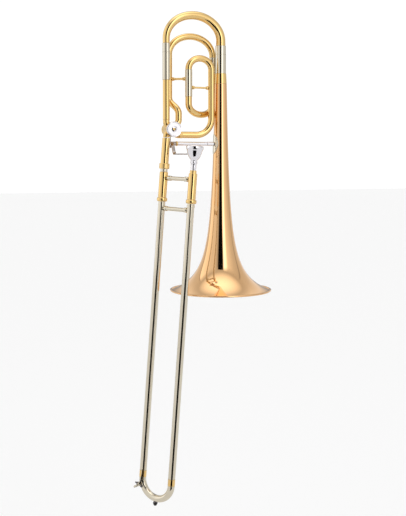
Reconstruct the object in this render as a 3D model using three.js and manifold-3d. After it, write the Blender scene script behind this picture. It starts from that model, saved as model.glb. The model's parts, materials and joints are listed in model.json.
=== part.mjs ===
// Tenor trombone in Bb with a single-rotor F attachment, standing bell down.
// Millimetres, +Z up. The origin is the centre of the bell's mouth, the bell's axis is +Z, the main
// tubing lies in the XZ plane with the gooseneck at -X, and the player's side of the rotor faces -Y.
import * as THREE from 'three';
import { mergeVertices } from 'three/addons/utils/BufferGeometryUtils.js';
import Module from 'manifold-3d';

const wasm = await Module();
wasm.setup();

// ---- driving dimensions ----
// cutHalf, cutLeft and cutRight say how far a cutting shape reaches.
const GAP = 0.3;                 // left between pieces that touch on the real instrument
const SIDES = 16;                // sides of a round tube
const BENT_SIDES = 12;           // the same where it is bent
const FINE_SIDES = 12;           // small turned pieces
const PIN_SIDES = 8;
const ROTOR_SIDES = 24;
const BELL_SIDES = 30;

// bell: r = stem (1 - z / stemRun) + (rim - stem) (throat / (z + throat)) ^ flare
const BELL = { rim: 120.65, stem: 12.5, stemRun: 2400, throat: 58, flare: 1.42, top: 490, sheet: 0.8 };
const BELL_RINGS = 13;
const RIM_BEAD = { start: 1, wireRadius: 1, wireAt: 118.7, height: 4.2 };
const RIM_CURL = [[118, 0], [119.6, 0], [BELL.rim, 1.05], [BELL.rim, 3.15], [119.6, 4.2], [118.3, 4.2],
  [118.3, 3.6], [119.35, 3.6], [120.05, 2.9], [120.05, 1.3], [119.35, 0.6], [118.2, 0.6]];

const NECK_X = -137;             // axis of the gooseneck and of the slide receiver
const TUBE = { neck: 8, neckWall: 0.6, branch: 7.7, branchWall: 0.6 };
const SLEEVE_BOTTOM = { bell: 514, neck: 495 };
const SLEEVE_TOP = 558.5;
const CROOK_BOTTOM = 579;
const CROOK = { spring: 590, rise: 56.7, neckRadius: 8, bellRadius: 11.35, wall: 0.6, sides: 14, steps: 12 };
const BELL_FERRULE = { inner: 12.1, bottomRadius: 14.3, topRadius: 13.2 };
// outer and inner radii on the bell side and on the gooseneck side
const TUNING_SLEEVE = { bell: [12.7, 11.95], neck: [8.9, 8.2] };
const CROOK_FERRULE = { bell: [12.5, 11.95], neck: [8.9, 8.2] };
const TUNING_LEG = { bell: [11.6, 10.9], bellBottom: 472, neck: [7.9, 7.35], neckBottom: 496 };

// rotor valve: its axis runs along Y through x, z
const ROTOR = { x: -125, z: 381, core: 14.2, coreHalf: 15.8, casing: 16.8, half: 16.5, bore: 14.7,
  cutHalf: 20 };
const SPINDLE = { radius: 3, front: -20.4, back: 24, clearance: 0.2 };
const PASSAGE = { radius: 5, reach: Math.PI / 2.6, sides: 10, steps: 6 };
const PORT = { outer: 7.7, inner: 6.8, root: 9, stub: 1, neckStub: 5 };
const PORT_OFFSET = 12;          // how far each port's tube axis lies from the rotor's axis
const PORT_BEND = 12;            // centreline radius of a port's 45 degree bend
const PORT_BEND_SHIFT = 0.293 * PORT_BEND;           // how far that bend moves the axis sideways
const VALVE_CAP = [[3.2, -23], [5, -23], [6, -22.4], [6, -22], [14, -22], [15.5, -22.8], [17.2, -22.8],
  [18, -22], [18, -17.2], [17.2, -16.8], [3.2, -16.8]];              // corners as [radius, y]
const BEARING_PLATE = { radius: 16.8, front: 16.8, back: 19.5 };

const STOP_ARM_RADIUS = 9;       // rotor axis to the link pin
const ARM_Y = 21.6;              // middle of the stop arm's plate
const STOP_ARM = { lug: 13, reach: 12, halfWidth: 2.2, halfThick: 1.3, boss: 5, pin: 1.3, pinPast: 2.4 };
const STOP_BUMPER = { radius: 2.5, fromAxis: 11.5, front: 19.8, back: 23, rest: 106, pressed: 254 };
const LINK_Y = 25.2;             // plane that the link rod moves in
const LINK_EYE = { top: [3.2, 1.55], topHalf: 1.6, bottom: [3.7, 2.1], bottomHalf: 1.1 };
const LINK_SHAFT = { radius: 1.25, aside: 0.6, aboveBottom: 2.8, belowTop: 2.2 };

// F attachment: legs as [x, y], all vertical
const RUN_Z = 369;               // horizontal run from the rotor's return port
const F_FRONT_RIGHT = [-26.3, -5];
const F_FRONT_LEFT = [-83.5, -5];
const F_REAR_RIGHT = [-12, 22];
const F_REAR_LEFT = [-122.3, 22];
const F_PORT_X = -106.6;
const F_PORT_FERRULE = { outer: 8.1, inner: 6.9, end: -99 };
const QUARTER_BEND = 37;
const SMALL_ARC = { spring: 522, rise: 25 };
const REAR_ARC = { spring: 557, rise: 43.5 };
const F_SLEEVE = { outer: 8.5, inner: 7.25, bottom: 458, frontTop: 520, rearTop: 553 };
const F_BOW = { spring: 441, drop: 24, inner: 6.4 };
const F_LEG = { outer: 7, inner: 6.4, pastSleeve: 8, socket: 7.3, socketTop: 470 };
const S_BEND = { top: 457, bottom: 417, ease: 19, steps: 8 };
const F_BRACE = { upper: 499, upperRadius: 2.7, lower: 479, lowerRadius: 2.3 };
const F_BRACE_COLLAR = { radius: 4.2, length: 4.5, taper: 1.5, sunk: 2, cutHalf: 10 };

// thumb lever, turning about the thin left end of the bell brace
const BRACE = { z: 348.5, left: -110, right: -19.6, radius: 4.75, rod: 2.6, rodLeft: -128.2 };
const BRACE_FERRULE = { radius: 5.1, length: 16.3, end: BRACE.right + 0.4 };
const BRACE_COLLAR = { radius: 5.7, length: 3.6 };
const SADDLE = { halfWidth: 13.5, halfHeight: 23.5, thick: 0.9, pinch: 0.35, rings: 6, corners: 20 };
const LEVER_ARM = 26;            // brace axis to the link pin
const LEVER_HALF_SWING = Math.asin(STOP_ARM_RADIUS * Math.SQRT1_2 / LEVER_ARM);
const HUB = { left: -126.4, right: -114.6, outer: 4.7, inner: 2.9, cutLeft: -140, cutRight: -100 };
const LINK_X = -117.3;
// front arm from the hub down to the paddle, as [y, z] about the brace's axis
const LEVER_FRONT = [[-3.2, 2.2], [-9, -1.5], [-14, -9], [-18, -18], [-21.5, -22.2], [-25, -23.2],
  [-25, -25.8], [-20, -24.8], [-15.8, -20], [-11.5, -10.5], [-7, -4.8], [-1, -3.8]];
const LEVER_FRONT_WIDTH = 7;
const LEVER_REAR = { x: -124.6, width: 2.6, root: 3.4, halfHeight: 1.7, past: 1.8 };
const LEVER_PIN = { radius: 1.25, left: -123, past: 3.6 };
const PADDLE = { left: -128, right: -85, front: -37, back: -21, z: 324, thick: 2.6, corner: 5,
  curve: [8, 6] };

// hand slide: its own frame has the far tube on the axis, +Z up the slide, and +X towards the near tube
const SLIDE_LEAN = THREE.MathUtils.degToRad(4.34);   // away from the bell, in the plane of the main tubing
const SLIDE_TWIST = THREE.MathUtils.degToRad(61);    // near tube, from the plane of the main tubing to -Y
const SLIDE_TOP_Z = 362;
const SPAN = 87;                 // centre to centre of the two slide tubes
const RECEIVER = { top: 0.5, bottom: 63, topRadius: 8.9, bottomRadius: 9.35, topBore: 8, bottomBore: 8.5 };
const NUT = { top: 59.5, bottom: 72.2, radius: 12, edge: 0.8, bore: 9.65, lip: 8.6, lipTop: 68.4 };
// the tenon's collar, which the nut draws up, and its taper: corners as [radius, distance down the slide]
const TENON = { foot: [7.6, 8.2], collar: [[8.2, 68], [9.2, 68], [9.2, 64]],
  cone: [[7.9, 63.5], [7.55, 30], [6.9, 30], [7.2, 63]] };
const BARREL = { top: 79.3, bottom: 138, farRadius: 9.85, nearRadius: 9.7, ring: 9.2, ringRadius: 12.1 };
const BARREL_BORE = { far: 7.6, near: 7.9, pocket: 8.4, pocketTop: 106, edge: 0.6 };
const BARREL_RING = { chamfer: 1.4, chamferHeight: 2 };
const OUTER = { radius: 8.05, bore: 7.6, top: 124, bottom: 772, ferrule: 15.3 };
const INNER = { radius: 7.25, bore: 6.85, stocking: 7.4, stockingTop: 645, stockingTaper: 2, bottom: 755,
  farTop: 80, nearTop: 104.8 };
const FELT = { outer: 8.15, inner: 7.55, top: 113, bottom: 123 };
const LOCK_BAND = { top: -150.5, bottom: -156.6, radius: 8.9 };
const INNER_BRACE = { at: 93, ends: [13, 12] };
const OUTER_BRACE = { at: 163, ends: [8.5, 8.5] };
const SLIDE_BRACE = { radius: 4.75, end: 5.9, taper: 1, sunk: 3, cutHalf: 12 };
const MOUTH_RECEIVER = { bore: [5.75, 6.55], radius: 7.6, topRadius: 7.1, bottom: 104.5, edge: 0.5 };
const LEAD_PIPE = { outer: 6.6, inner: 6.1, top: 104.8, bottom: 240 };
const BOW_FERRULE_OVER = 0.15;   // how far a bow ferrule stands out from its tube
const END_BOW = { drop: 38.6, straight: 1, steps: 12 };
const BUMPER_SEAT = { radius: 4.6, below: 1.8, sunk: 4 };
const BUMPER_TOP = 2.1;          // below the end bow's lowest point
// the bumper's foot, as [radius, height above its tip]
const BUMPER = { length: 9, foot: [[2.6, 0], [4.2, 2.4], [5.2, 5.4]] };
// the key faces a direction about the far tube, and its hinge lies aslant: out from the tube's axis, to one
// side of it, and above the height that the key is drawn about
const WATER_KEY = { at: 806, nippleRise: 12, turn: THREE.MathUtils.degToRad(-58) };
const KEY_HINGE = { out: 13.1, side: -5.5, rise: 2.2, slant: THREE.MathUtils.degToRad(-33) };
const KEY_SCREW = 0.95;          // radius of the hinge's hole
const KEY_KNUCKLE = { radius: 1.9, half: 4.2 };
const KEY_POST = { at: 5.8, half: 0.9, from: -6, to: 1.9, halfHeight: 1.9 };
const KEY_SADDLE = [-6.1, -2.3, -6.7, 13, -2.6, 2.6];                // limits in x, y and z at the hinge
const NIPPLE = { radius: 2.6, bore: 1.5, from: 4, to: 10.2, boreTo: 12 };
// arm seen from outside: up the tube over the nipple, and down past the hinge to the touch
const KEY_ARM = [[1.6, 38.4], [-1.6, 38.4], [-1.8, 24], [-3.2, 16.8], [-5.6, 10.2], [-8.8, 4.6],
  [-12.6, 1.4], [-17.4, -1.8], [-18, -4.2], [-16, -6], [-10, -3.2], [-4.6, -0.8], [-2.4, 2.6],
  [-1.4, 8.6], [0.4, 15.5], [1.6, 24]];
const KEY_ARM_AT = { from: 12.5, thick: 1.2 };
const KEY_CUP = { radius: 3.6, from: 11.4, to: 13 };
const KEY_CORK = { radius: 3, from: 10.5, to: 11.1 };
// the hinge's screw with its knob, as [radius, distance along it]
const KEY_SCREW_PROFILE = [[0, -10.9], [1.6, -10.5], [2.2, -9.1], [1.6, -7.6], [0.7, -7.2], [0.7, 8.2],
  [0, 8.2]];
const MOUTHPIECE = { rim: 16.2, receiver: 72.3 };    // distances down the slide of its rim and its collar
// as [radius, distance below the rim], from the shank's end up the outside and from the rim down the cup
const MOUTHPIECE_OUTSIDE = [[5.3, 83], [6.2, 57], [6.6, 43], [7.3, 41], [8.3, 39.5], [8.3, 38.5],
  [7.4, 37], [7.2, 33], [9, 31.5], [12.5, 27.5], [15, 21], [16.6, 12], [17.2, 8.5], [19.8, 5.5],
  [19.8, 2], [18.4, 0]];
const MOUTHPIECE_INSIDE = [[14, 0], [12.6, 2.5], [12, 10], [9.5, 17], [5.5, 22], [3.3, 26], [3.6, 40],
  [4.6, 83]];
const MOUTHPIECE_SIDES = 18;     // also the valve cap's

// ---- finishes ----
const finish = {
  yellowBrass: [0xe2b55c, 0.22, 1],
  goldBrass: [0xd9a06a, 0.2, 1],
  nickelSilver: [0xc9c0ae, 0.28, 1],
  silverPlate: [0xe4e2ea, 0.12, 1],
  steel: [0x6d6862, 0.35, 1],
  rubber: [0x161616, 0.8, 0],
  cork: [0xb48a5c, 0.9, 0],
  felt: [0x3d2f2a, 1, 0],
};

const part = new THREE.Group();

function add(name, geometry, [color, roughness, metalness], group = part) {
  const mesh = new THREE.Mesh(geometry, new THREE.MeshStandardMaterial({ color, roughness, metalness }));
  mesh.name = name;
  group.add(mesh);
  return mesh;
}

// ---- shape helpers ----

// A solid of revolution about +Z from [radius, height] corners, listed with the metal on their left.
function revolve(corners, sides = SIDES) {
  const profile = [...corners, corners[0]].map(([r, z]) => new THREE.Vector2(r, z));
  return new THREE.LatheGeometry(profile, sides).rotateX(Math.PI / 2);
}

// The same for a profile that starts and ends on the axis.
function revolveSolid(corners, sides = SIDES) {
  const profile = corners.map(([r, z]) => new THREE.Vector2(r, z));
  return new THREE.LatheGeometry(profile, sides).rotateX(Math.PI / 2);
}

const pipe = (outer, inner, bottom, top, sides = SIDES) =>
  revolve([[inner, bottom], [outer, bottom], [outer, top], [inner, top]], sides);

const rod = (radius, bottom, top, sides = SIDES) =>
  revolveSolid([[0, bottom], [radius, bottom], [radius, top], [0, top]], sides);

const alongX = (geometry) => geometry.rotateY(Math.PI / 2);
const alongY = (geometry) => geometry.rotateX(-Math.PI / 2);
const box = (x0, x1, y0, y1, z0, z1) =>
  new THREE.BoxGeometry(x1 - x0, y1 - y0, z1 - z0).translate((x0 + x1) / 2, (y0 + y1) / 2, (z0 + z1) / 2);

// A station of a tube's route: a point and the direction of travel there.
const station = (point, direction) => ({
  point: new THREE.Vector3(...point),
  tangent: new THREE.Vector3(...direction).normalize(),
});

// Stations on the ellipse centre + a cos(t) + b sin(t).
function arc(centre, a, b, start, end, steps) {
  const [c, u, v] = [centre, a, b].map((w) => new THREE.Vector3(...w));
  return Array.from({ length: steps + 1 }, (_, i) => {
    const t = start + (end - start) * i / steps;
    const point = c.clone().addScaledVector(u, Math.cos(t)).addScaledVector(v, Math.sin(t));
    const along = u.clone().multiplyScalar(-Math.sin(t)).addScaledVector(v, Math.cos(t));
    return { point, tangent: along.multiplyScalar(Math.sign(end - start)).normalize() };
  });
}

// A route that has a cross-section at each station and nowhere else.
class Route extends THREE.Curve {
  constructor(stations) {
    super();
    this.stations = stations;
  }

  at(u) {
    return this.stations[Math.round(u * (this.stations.length - 1))];
  }

  getPointAt(u, target = new THREE.Vector3()) {
    return target.copy(this.at(u).point);
  }

  getTangentAt(u, target = new THREE.Vector3()) {
    return target.copy(this.at(u).tangent);
  }
}

const ringPoints = (radius, sides) => Array.from({ length: sides }, (_, i) => {
  const angle = 2 * Math.PI * i / sides;
  return new THREE.Vector2(radius * Math.cos(angle), radius * Math.sin(angle));
});

// A bent tube through the stations; inner = 0 makes it solid.
function sweep(stations, outer, inner, sides = BENT_SIDES) {
  const section = new THREE.Shape(ringPoints(outer, sides));
  if (inner) section.holes.push(new THREE.Path(ringPoints(inner, sides)));
  return new THREE.ExtrudeGeometry(section, {
    steps: stations.length - 1, bevelEnabled: false, extrudePath: new Route(stations),
  });
}

// Scales each section of a swept tube about its station, so that the tube tapers.
function taper(geometry, stations, scaleAt) {
  const position = geometry.attributes.position;
  const vertex = new THREE.Vector3();
  for (let i = 0; i < position.count; i++) {
    vertex.fromBufferAttribute(position, i);
    const distances = stations.map((s) => s.point.distanceToSquared(vertex));
    const k = distances.indexOf(Math.min(...distances));
    vertex.sub(stations[k].point).multiplyScalar(scaleAt(k / (stations.length - 1))).add(stations[k].point);
    position.setXYZ(i, vertex.x, vertex.y, vertex.z);
  }
  return geometry;
}

// A flat plate from an outline in XY, cut to a thickness from z = bottom.
const plate = (outline, bottom, thickness) =>
  new THREE.ExtrudeGeometry(new THREE.Shape(outline.map(([x, y]) => new THREE.Vector2(x, y))),
    { depth: thickness, bevelEnabled: false }).translate(0, 0, bottom);

// ---- boolean helpers ----
function solidOf(geometry) {
  const bare = (geometry.index ? geometry.toNonIndexed() : geometry.clone());
  bare.deleteAttribute('normal');
  bare.deleteAttribute('uv');
  const merged = mergeVertices(bare, 1e-3);
  const index = Array.from(merged.index.array);
  const triangles = [];
  for (let i = 0; i < index.length; i += 3) {
    const [a, b, c] = index.slice(i, i + 3);
    if (a !== b && b !== c && a !== c) triangles.push(a, b, c);
  }
  return new wasm.Manifold(new wasm.Mesh({
    numProp: 3,
    vertProperties: new Float32Array(merged.attributes.position.array),
    triVerts: new Uint32Array(triangles),
  }));
}

function geometryOf(solid) {
  const mesh = solid.getMesh();
  const geometry = new THREE.BufferGeometry();
  geometry.setAttribute('position', new THREE.BufferAttribute(mesh.vertProperties, mesh.numProp));
  geometry.setIndex(new THREE.BufferAttribute(mesh.triVerts, 1));
  return geometry;
}

const join = (...shapes) => geometryOf(shapes.map(solidOf).reduce((whole, next) => whole.add(next)));
const cut = (shape, ...tools) =>
  geometryOf(tools.map(solidOf).reduce((whole, tool) => whole.subtract(tool), solidOf(shape)));
const overlap = (a, b) => geometryOf(solidOf(a).intersect(solidOf(b)));

// ---- bell ----
const bellRadius = (z) => BELL.stem * (1 - z / BELL.stemRun)
  + (BELL.rim - BELL.stem) * (BELL.throat / (z + BELL.throat)) ** BELL.flare;

// Heights that crowd towards the mouth, where the flare curves most.
const bellHeights = (low, high, count) => Array.from({ length: count }, (_, i) =>
  (low + BELL.throat) * ((high + BELL.throat) / (low + BELL.throat)) ** (i / (count - 1)) - BELL.throat);

// A point of the bell's sheet at a height, moved inward at right angles to the sheet.
function bellPoint(z, inward) {
  const slope = (bellRadius(z + 0.1) - bellRadius(z - 0.1)) / 0.2;
  const length = Math.hypot(1, slope);
  return [bellRadius(z) - inward / length, z + inward * slope / length];
}

function makeBell() {
  const heights = bellHeights(RIM_BEAD.start, BELL.top, BELL_RINGS);
  const outside = heights.map((z) => bellPoint(z, 0));
  const inside = heights.map((z) => bellPoint(z, BELL.sheet)).reverse();
  inside[0][1] = BELL.top;
  add('bell', revolve([...RIM_CURL, ...outside, ...inside], BELL_SIDES), finish.goldBrass);

  const wire = ringPoints(RIM_BEAD.wireRadius, 5)
    .map((p) => [RIM_BEAD.wireAt + p.x, RIM_BEAD.height / 2 + p.y]);
  add('bell_rim_wire', revolve(wire, BELL_SIDES), finish.steel);
}

// ---- main tuning slide and its sleeves ----
function makeTuningSlide() {
  const { inner, bottomRadius, topRadius } = BELL_FERRULE;
  add('bell_ferrule', revolve([[inner, BELL.top + GAP], [bottomRadius, BELL.top + GAP],
    [topRadius, SLEEVE_BOTTOM.bell], [inner, SLEEVE_BOTTOM.bell]]), finish.yellowBrass);

  const upright = (name, radii, bottom, top, x = 0) => {
    add(name, pipe(...radii, bottom, top), finish.nickelSilver).position.x = x;
  };
  upright('tuning_sleeve_bell', TUNING_SLEEVE.bell, SLEEVE_BOTTOM.bell + GAP, SLEEVE_TOP);
  upright('tuning_sleeve_neck', TUNING_SLEEVE.neck, SLEEVE_BOTTOM.neck + GAP, SLEEVE_TOP, NECK_X);
  upright('crook_ferrule_bell', CROOK_FERRULE.bell, SLEEVE_TOP + GAP, CROOK_BOTTOM);
  upright('crook_ferrule_neck', CROOK_FERRULE.neck, SLEEVE_TOP + GAP, CROOK_BOTTOM, NECK_X);
  upright('tuning_leg_bell', TUNING_LEG.bell, TUNING_LEG.bellBottom, CROOK_BOTTOM);
  upright('tuning_leg_neck', TUNING_LEG.neck, TUNING_LEG.neckBottom, CROOK_BOTTOM, NECK_X);

  const half = -NECK_X / 2;
  const route = [
    station([NECK_X, 0, CROOK_BOTTOM + GAP], [0, 0, 1]),
    ...arc([-half, 0, CROOK.spring], [-half, 0, 0], [0, 0, CROOK.rise], 0, Math.PI, CROOK.steps),
    station([0, 0, CROOK_BOTTOM + GAP], [0, 0, -1]),
  ];
  const growth = CROOK.bellRadius / CROOK.neckRadius - 1;
  add('tuning_crook', taper(sweep(route, CROOK.neckRadius, CROOK.neckRadius - CROOK.wall, CROOK.sides),
    route, (t) => 1 + growth * t), finish.yellowBrass);
}

// ---- rotor valve ----

// A port's centreline: straight out from the rotor at an angle, a 45 degree bend, then straight on.
function portRoute(angle, turn, straight, reach) {
  const a = THREE.MathUtils.degToRad(angle);
  const [ux, uz] = [Math.cos(a), Math.sin(a)];
  const side = Math.sign(turn);
  const [nx, nz] = [-uz * side, ux * side];
  const bendStart = [ROTOR.x + ux * straight, 0, ROTOR.z + uz * straight];
  const centre = [bendStart[0] + nx * PORT_BEND, 0, bendStart[2] + nz * PORT_BEND];
  const bend = arc(centre, [-nx * PORT_BEND, 0, -nz * PORT_BEND], [ux * PORT_BEND, 0, uz * PORT_BEND],
    0, Math.PI / 4, 3);
  const last = bend.at(-1);
  const end = last.point.clone().addScaledVector(last.tangent, reach);
  return [station([ROTOR.x + ux * PORT.root, 0, ROTOR.z + uz * PORT.root], [ux, 0, uz]), ...bend,
    { point: end, tangent: last.tangent.clone() }];
}

const PORTS = {
  gooseneck: portRoute(135, -1, PORT_OFFSET, PORT.neckStub),
  handSlide: portRoute(225, 1, PORT_OFFSET, PORT.stub),
  neckTube: portRoute(45, 1, (F_PORT_X - ROTOR.x - PORT_BEND_SHIFT) / Math.SQRT1_2, PORT.stub),
  frontBranch: portRoute(315, 1, PORT_OFFSET, PORT.stub),
};

function makeRotor() {
  const ports = Object.values(PORTS);
  const place = (geometry) => alongY(geometry).translate(ROTOR.x, 0, ROTOR.z);
  const body = join(place(rod(ROTOR.casing, -ROTOR.half, ROTOR.half, ROTOR_SIDES)),
    ...ports.map((port) => sweep(port, PORT.outer, 0)));
  const bores = ports.map((port) => sweep(port, PORT.inner, 0));
  const chamber = place(rod(ROTOR.bore, -ROTOR.cutHalf, ROTOR.cutHalf, ROTOR_SIDES));
  add('rotor_casing', cut(body, chamber, ...bores), finish.yellowBrass);

  // rotor with a curved passage on each side, so that it joins the ports in pairs
  const passage = (side) => sweep(arc([ROTOR.x + side * ROTOR.core * Math.SQRT2, 0, ROTOR.z],
    [-side * ROTOR.core, 0, 0], [0, 0, ROTOR.core], -PASSAGE.reach, PASSAGE.reach, PASSAGE.steps),
  PASSAGE.radius, 0, PASSAGE.sides);
  const drum = join(place(rod(ROTOR.core, -ROTOR.coreHalf, ROTOR.coreHalf, ROTOR_SIDES)),
    place(rod(SPINDLE.radius, SPINDLE.front, SPINDLE.back, FINE_SIDES)));
  add('rotor_core', cut(drum, passage(-1), passage(1)), finish.yellowBrass);

  add('valve_cap', place(revolve(VALVE_CAP, MOUTHPIECE_SIDES)), finish.silverPlate);
  add('bearing_plate', place(pipe(BEARING_PLATE.radius, SPINDLE.radius + SPINDLE.clearance,
    BEARING_PLATE.front, BEARING_PLATE.back, ROTOR_SIDES)), finish.yellowBrass);

  // stop arm: pin towards the lower right at rest, lug opposite it
  const pinAngle = -Math.PI / 4;
  const [c, s] = [Math.cos(pinAngle), Math.sin(pinAngle)];
  const pinAt = [ROTOR.x + c * STOP_ARM_RADIUS, ROTOR.z + s * STOP_ARM_RADIUS];
  const { lug, reach, halfWidth, halfThick, boss, pinPast } = STOP_ARM;
  const bar = box(-lug, reach, -halfWidth, halfWidth, -halfThick, halfThick).rotateZ(-pinAngle);
  const arm = alongY(join(bar, rod(boss, -halfThick, halfThick))).translate(ROTOR.x, ARM_Y, ROTOR.z);
  const pin = alongY(rod(STOP_ARM.pin, ARM_Y, LINK_Y + pinPast, PIN_SIDES)).translate(pinAt[0], 0, pinAt[1]);
  const spindleHole = place(rod(SPINDLE.radius + GAP, 18, 30, FINE_SIDES));
  add('stop_arm', cut(join(arm, pin), spindleHole), finish.silverPlate);

  ['rest', 'pressed'].forEach((stop) => {
    const angle = THREE.MathUtils.degToRad(STOP_BUMPER[stop]);
    const { radius, fromAxis, front, back } = STOP_BUMPER;
    add('stop_bumper_' + stop, alongY(rod(radius, front, back, FINE_SIDES))
      .translate(ROTOR.x + fromAxis * Math.cos(angle), 0, ROTOR.z + fromAxis * Math.sin(angle)), finish.cork);
  });

  // link rod between the stop arm's pin and the thumb lever's pin
  const bottom = BRACE.z - STOP_ARM_RADIUS * Math.SQRT1_2;
  const { topHalf, bottomHalf } = LINK_EYE;
  const topEye = alongY(pipe(...LINK_EYE.top, -topHalf, topHalf, FINE_SIDES))
    .translate(pinAt[0], LINK_Y, pinAt[1]);
  const bottomEye = alongX(pipe(...LINK_EYE.bottom, -bottomHalf, bottomHalf, FINE_SIDES))
    .translate(LINK_X, LINK_Y, bottom);
  const shaft = rod(LINK_SHAFT.radius, bottom + LINK_SHAFT.aboveBottom, pinAt[1] - LINK_SHAFT.belowTop,
    PIN_SIDES).translate(LINK_X - LINK_SHAFT.aside, LINK_Y, 0);
  add('link_rod', join(topEye, bottomEye, shaft), finish.silverPlate);
}

// ---- gooseneck ----
function makeGooseneck() {
  const start = PORTS.gooseneck.at(-1).point.z;
  const tube = pipe(TUBE.neck, TUBE.neck - TUBE.neckWall, start + GAP, SLEEVE_BOTTOM.neck);
  add('gooseneck', tube, finish.yellowBrass).position.x = NECK_X;
}

// ---- F attachment tubing ----
const legArc = (from, to, spring, rise, steps) => arc(
  [(from[0] + to[0]) / 2, (from[1] + to[1]) / 2, spring],
  [(from[0] - to[0]) / 2, (from[1] - to[1]) / 2, 0], [0, 0, rise], 0, Math.PI, steps);

function makeFTubing() {
  const [outer, inner] = [TUBE.branch, TUBE.branch - TUBE.branchWall];
  const { top, bottom, ease, steps } = S_BEND;
  const bend = new THREE.CubicBezierCurve3(
    new THREE.Vector3(...F_REAR_LEFT, top), new THREE.Vector3(...F_REAR_LEFT, top - ease),
    new THREE.Vector3(F_PORT_X, 0, bottom + ease), new THREE.Vector3(F_PORT_X, 0, bottom));
  const neckTube = [
    station([...F_REAR_LEFT, REAR_ARC.spring - 0.5], [0, 0, -1]),
    ...Array.from({ length: steps + 1 }, (_, i) => i / steps)
      .map((t) => ({ point: bend.getPoint(t), tangent: bend.getTangent(t) })),
    station([F_PORT_X, 0, PORTS.neckTube.at(-1).point.z + GAP], [0, 0, -1]),
  ];
  add('f_neck_tube', sweep(neckTube, outer, inner), finish.yellowBrass);

  const rearArc = [...legArc(F_REAR_LEFT, F_REAR_RIGHT, REAR_ARC.spring, REAR_ARC.rise, 10),
    station([...F_REAR_RIGHT, F_SLEEVE.rearTop + GAP], [0, 0, -1])];
  add('f_rear_arc', sweep(rearArc, outer, inner), finish.yellowBrass);

  const ferrule = F_PORT_FERRULE;
  const ferruleStart = PORTS.frontBranch.at(-1).point.x + GAP;
  add('f_port_ferrule', alongX(pipe(ferrule.outer, ferrule.inner, ferruleStart, ferrule.end))
    .translate(0, 0, RUN_Z), finish.yellowBrass);

  // the run drifts from the rotor's plane to the front legs' plane while it goes along and up
  const [legX, legY] = F_FRONT_RIGHT;
  const heading = new THREE.Vector2(legX - ferrule.end, legY).normalize();
  const bendX = legX - QUARTER_BEND * heading.x;
  const bendY = legY - QUARTER_BEND * heading.y;
  const branch = [
    station([ferrule.end + GAP, 0, RUN_Z], [1, 0, 0]),
    ...arc([bendX, bendY, RUN_Z + QUARTER_BEND], [0, 0, -QUARTER_BEND],
      [QUARTER_BEND * heading.x, QUARTER_BEND * heading.y, 0], 0, Math.PI / 2, 6),
    ...legArc(F_FRONT_RIGHT, F_FRONT_LEFT, SMALL_ARC.spring, SMALL_ARC.rise, 7),
    station([...F_FRONT_LEFT, F_SLEEVE.frontTop + GAP], [0, 0, -1]),
  ];
  add('f_front_branch', sweep(branch, outer, inner), finish.yellowBrass);

  const sleeve = (name, [x, y], top) =>
    add(name, pipe(F_SLEEVE.outer, F_SLEEVE.inner, F_SLEEVE.bottom, top), finish.nickelSilver)
      .position.set(x, y, 0);
  sleeve('f_sleeve_front', F_FRONT_LEFT, F_SLEEVE.frontTop);
  sleeve('f_sleeve_rear', F_REAR_RIGHT, F_SLEEVE.rearTop);

  // F tuning slide: a bow between two inner legs
  const legBottom = F_SLEEVE.bottom - F_LEG.pastSleeve;
  const leg = (name, [x, y]) =>
    add(name, pipe(F_LEG.outer, F_LEG.inner, legBottom, F_SLEEVE.frontTop - 1), finish.nickelSilver)
      .position.set(x, y, 0);
  leg('f_slide_leg_front', F_FRONT_LEFT);
  leg('f_slide_leg_rear', F_REAR_RIGHT);
  const bow = [
    station([...F_FRONT_LEFT, F_SLEEVE.bottom - GAP], [0, 0, -1]),
    ...legArc(F_FRONT_LEFT, F_REAR_RIGHT, F_BOW.spring, -F_BOW.drop, 9),
    station([...F_REAR_RIGHT, F_SLEEVE.bottom - GAP], [0, 0, 1]),
  ];
  const sockets = [F_FRONT_LEFT, F_REAR_RIGHT]
    .map(([x, y]) => rod(F_LEG.socket, legBottom - GAP, F_LEG.socketTop).translate(x, y, 0));
  add('f_slide_bow', cut(sweep(bow, outer, F_BOW.inner), ...sockets), finish.yellowBrass);

  const { upper, upperRadius, lower, lowerRadius } = F_BRACE;
  smallBrace('f_brace_upper', F_REAR_LEFT, outer, F_FRONT_LEFT, F_SLEEVE.outer, upper, upperRadius);
  smallBrace('f_brace_lower', F_FRONT_LEFT, F_SLEEVE.outer, F_FRONT_RIGHT, outer, lower, lowerRadius);
}

// A level brace with a collar at each end, cut to sit against two upright tubes.
function smallBrace(name, from, fromRadius, to, toRadius, z, radius) {
  const length = Math.hypot(to[0] - from[0], to[1] - from[1]);
  const collar = F_BRACE_COLLAR;
  const [a, b] = [fromRadius - collar.sunk, length - toRadius + collar.sunk];
  const [edge, waist] = [collar.length, collar.length + collar.taper];
  const bar = revolveSolid([[0, a], [collar.radius, a], [collar.radius, a + edge], [radius, a + waist],
    [radius, b - waist], [collar.radius, b - edge], [collar.radius, b], [0, b]], FINE_SIDES);
  alongX(bar).rotateZ(Math.atan2(to[1] - from[1], to[0] - from[0])).translate(from[0], from[1], z);
  const tube = (radiusOfTube, [x, y]) =>
    rod(radiusOfTube + GAP, z - collar.cutHalf, z + collar.cutHalf).translate(x, y, 0);
  add(name, cut(bar, tube(fromRadius, from), tube(toRadius, to)), finish.yellowBrass);
}

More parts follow.
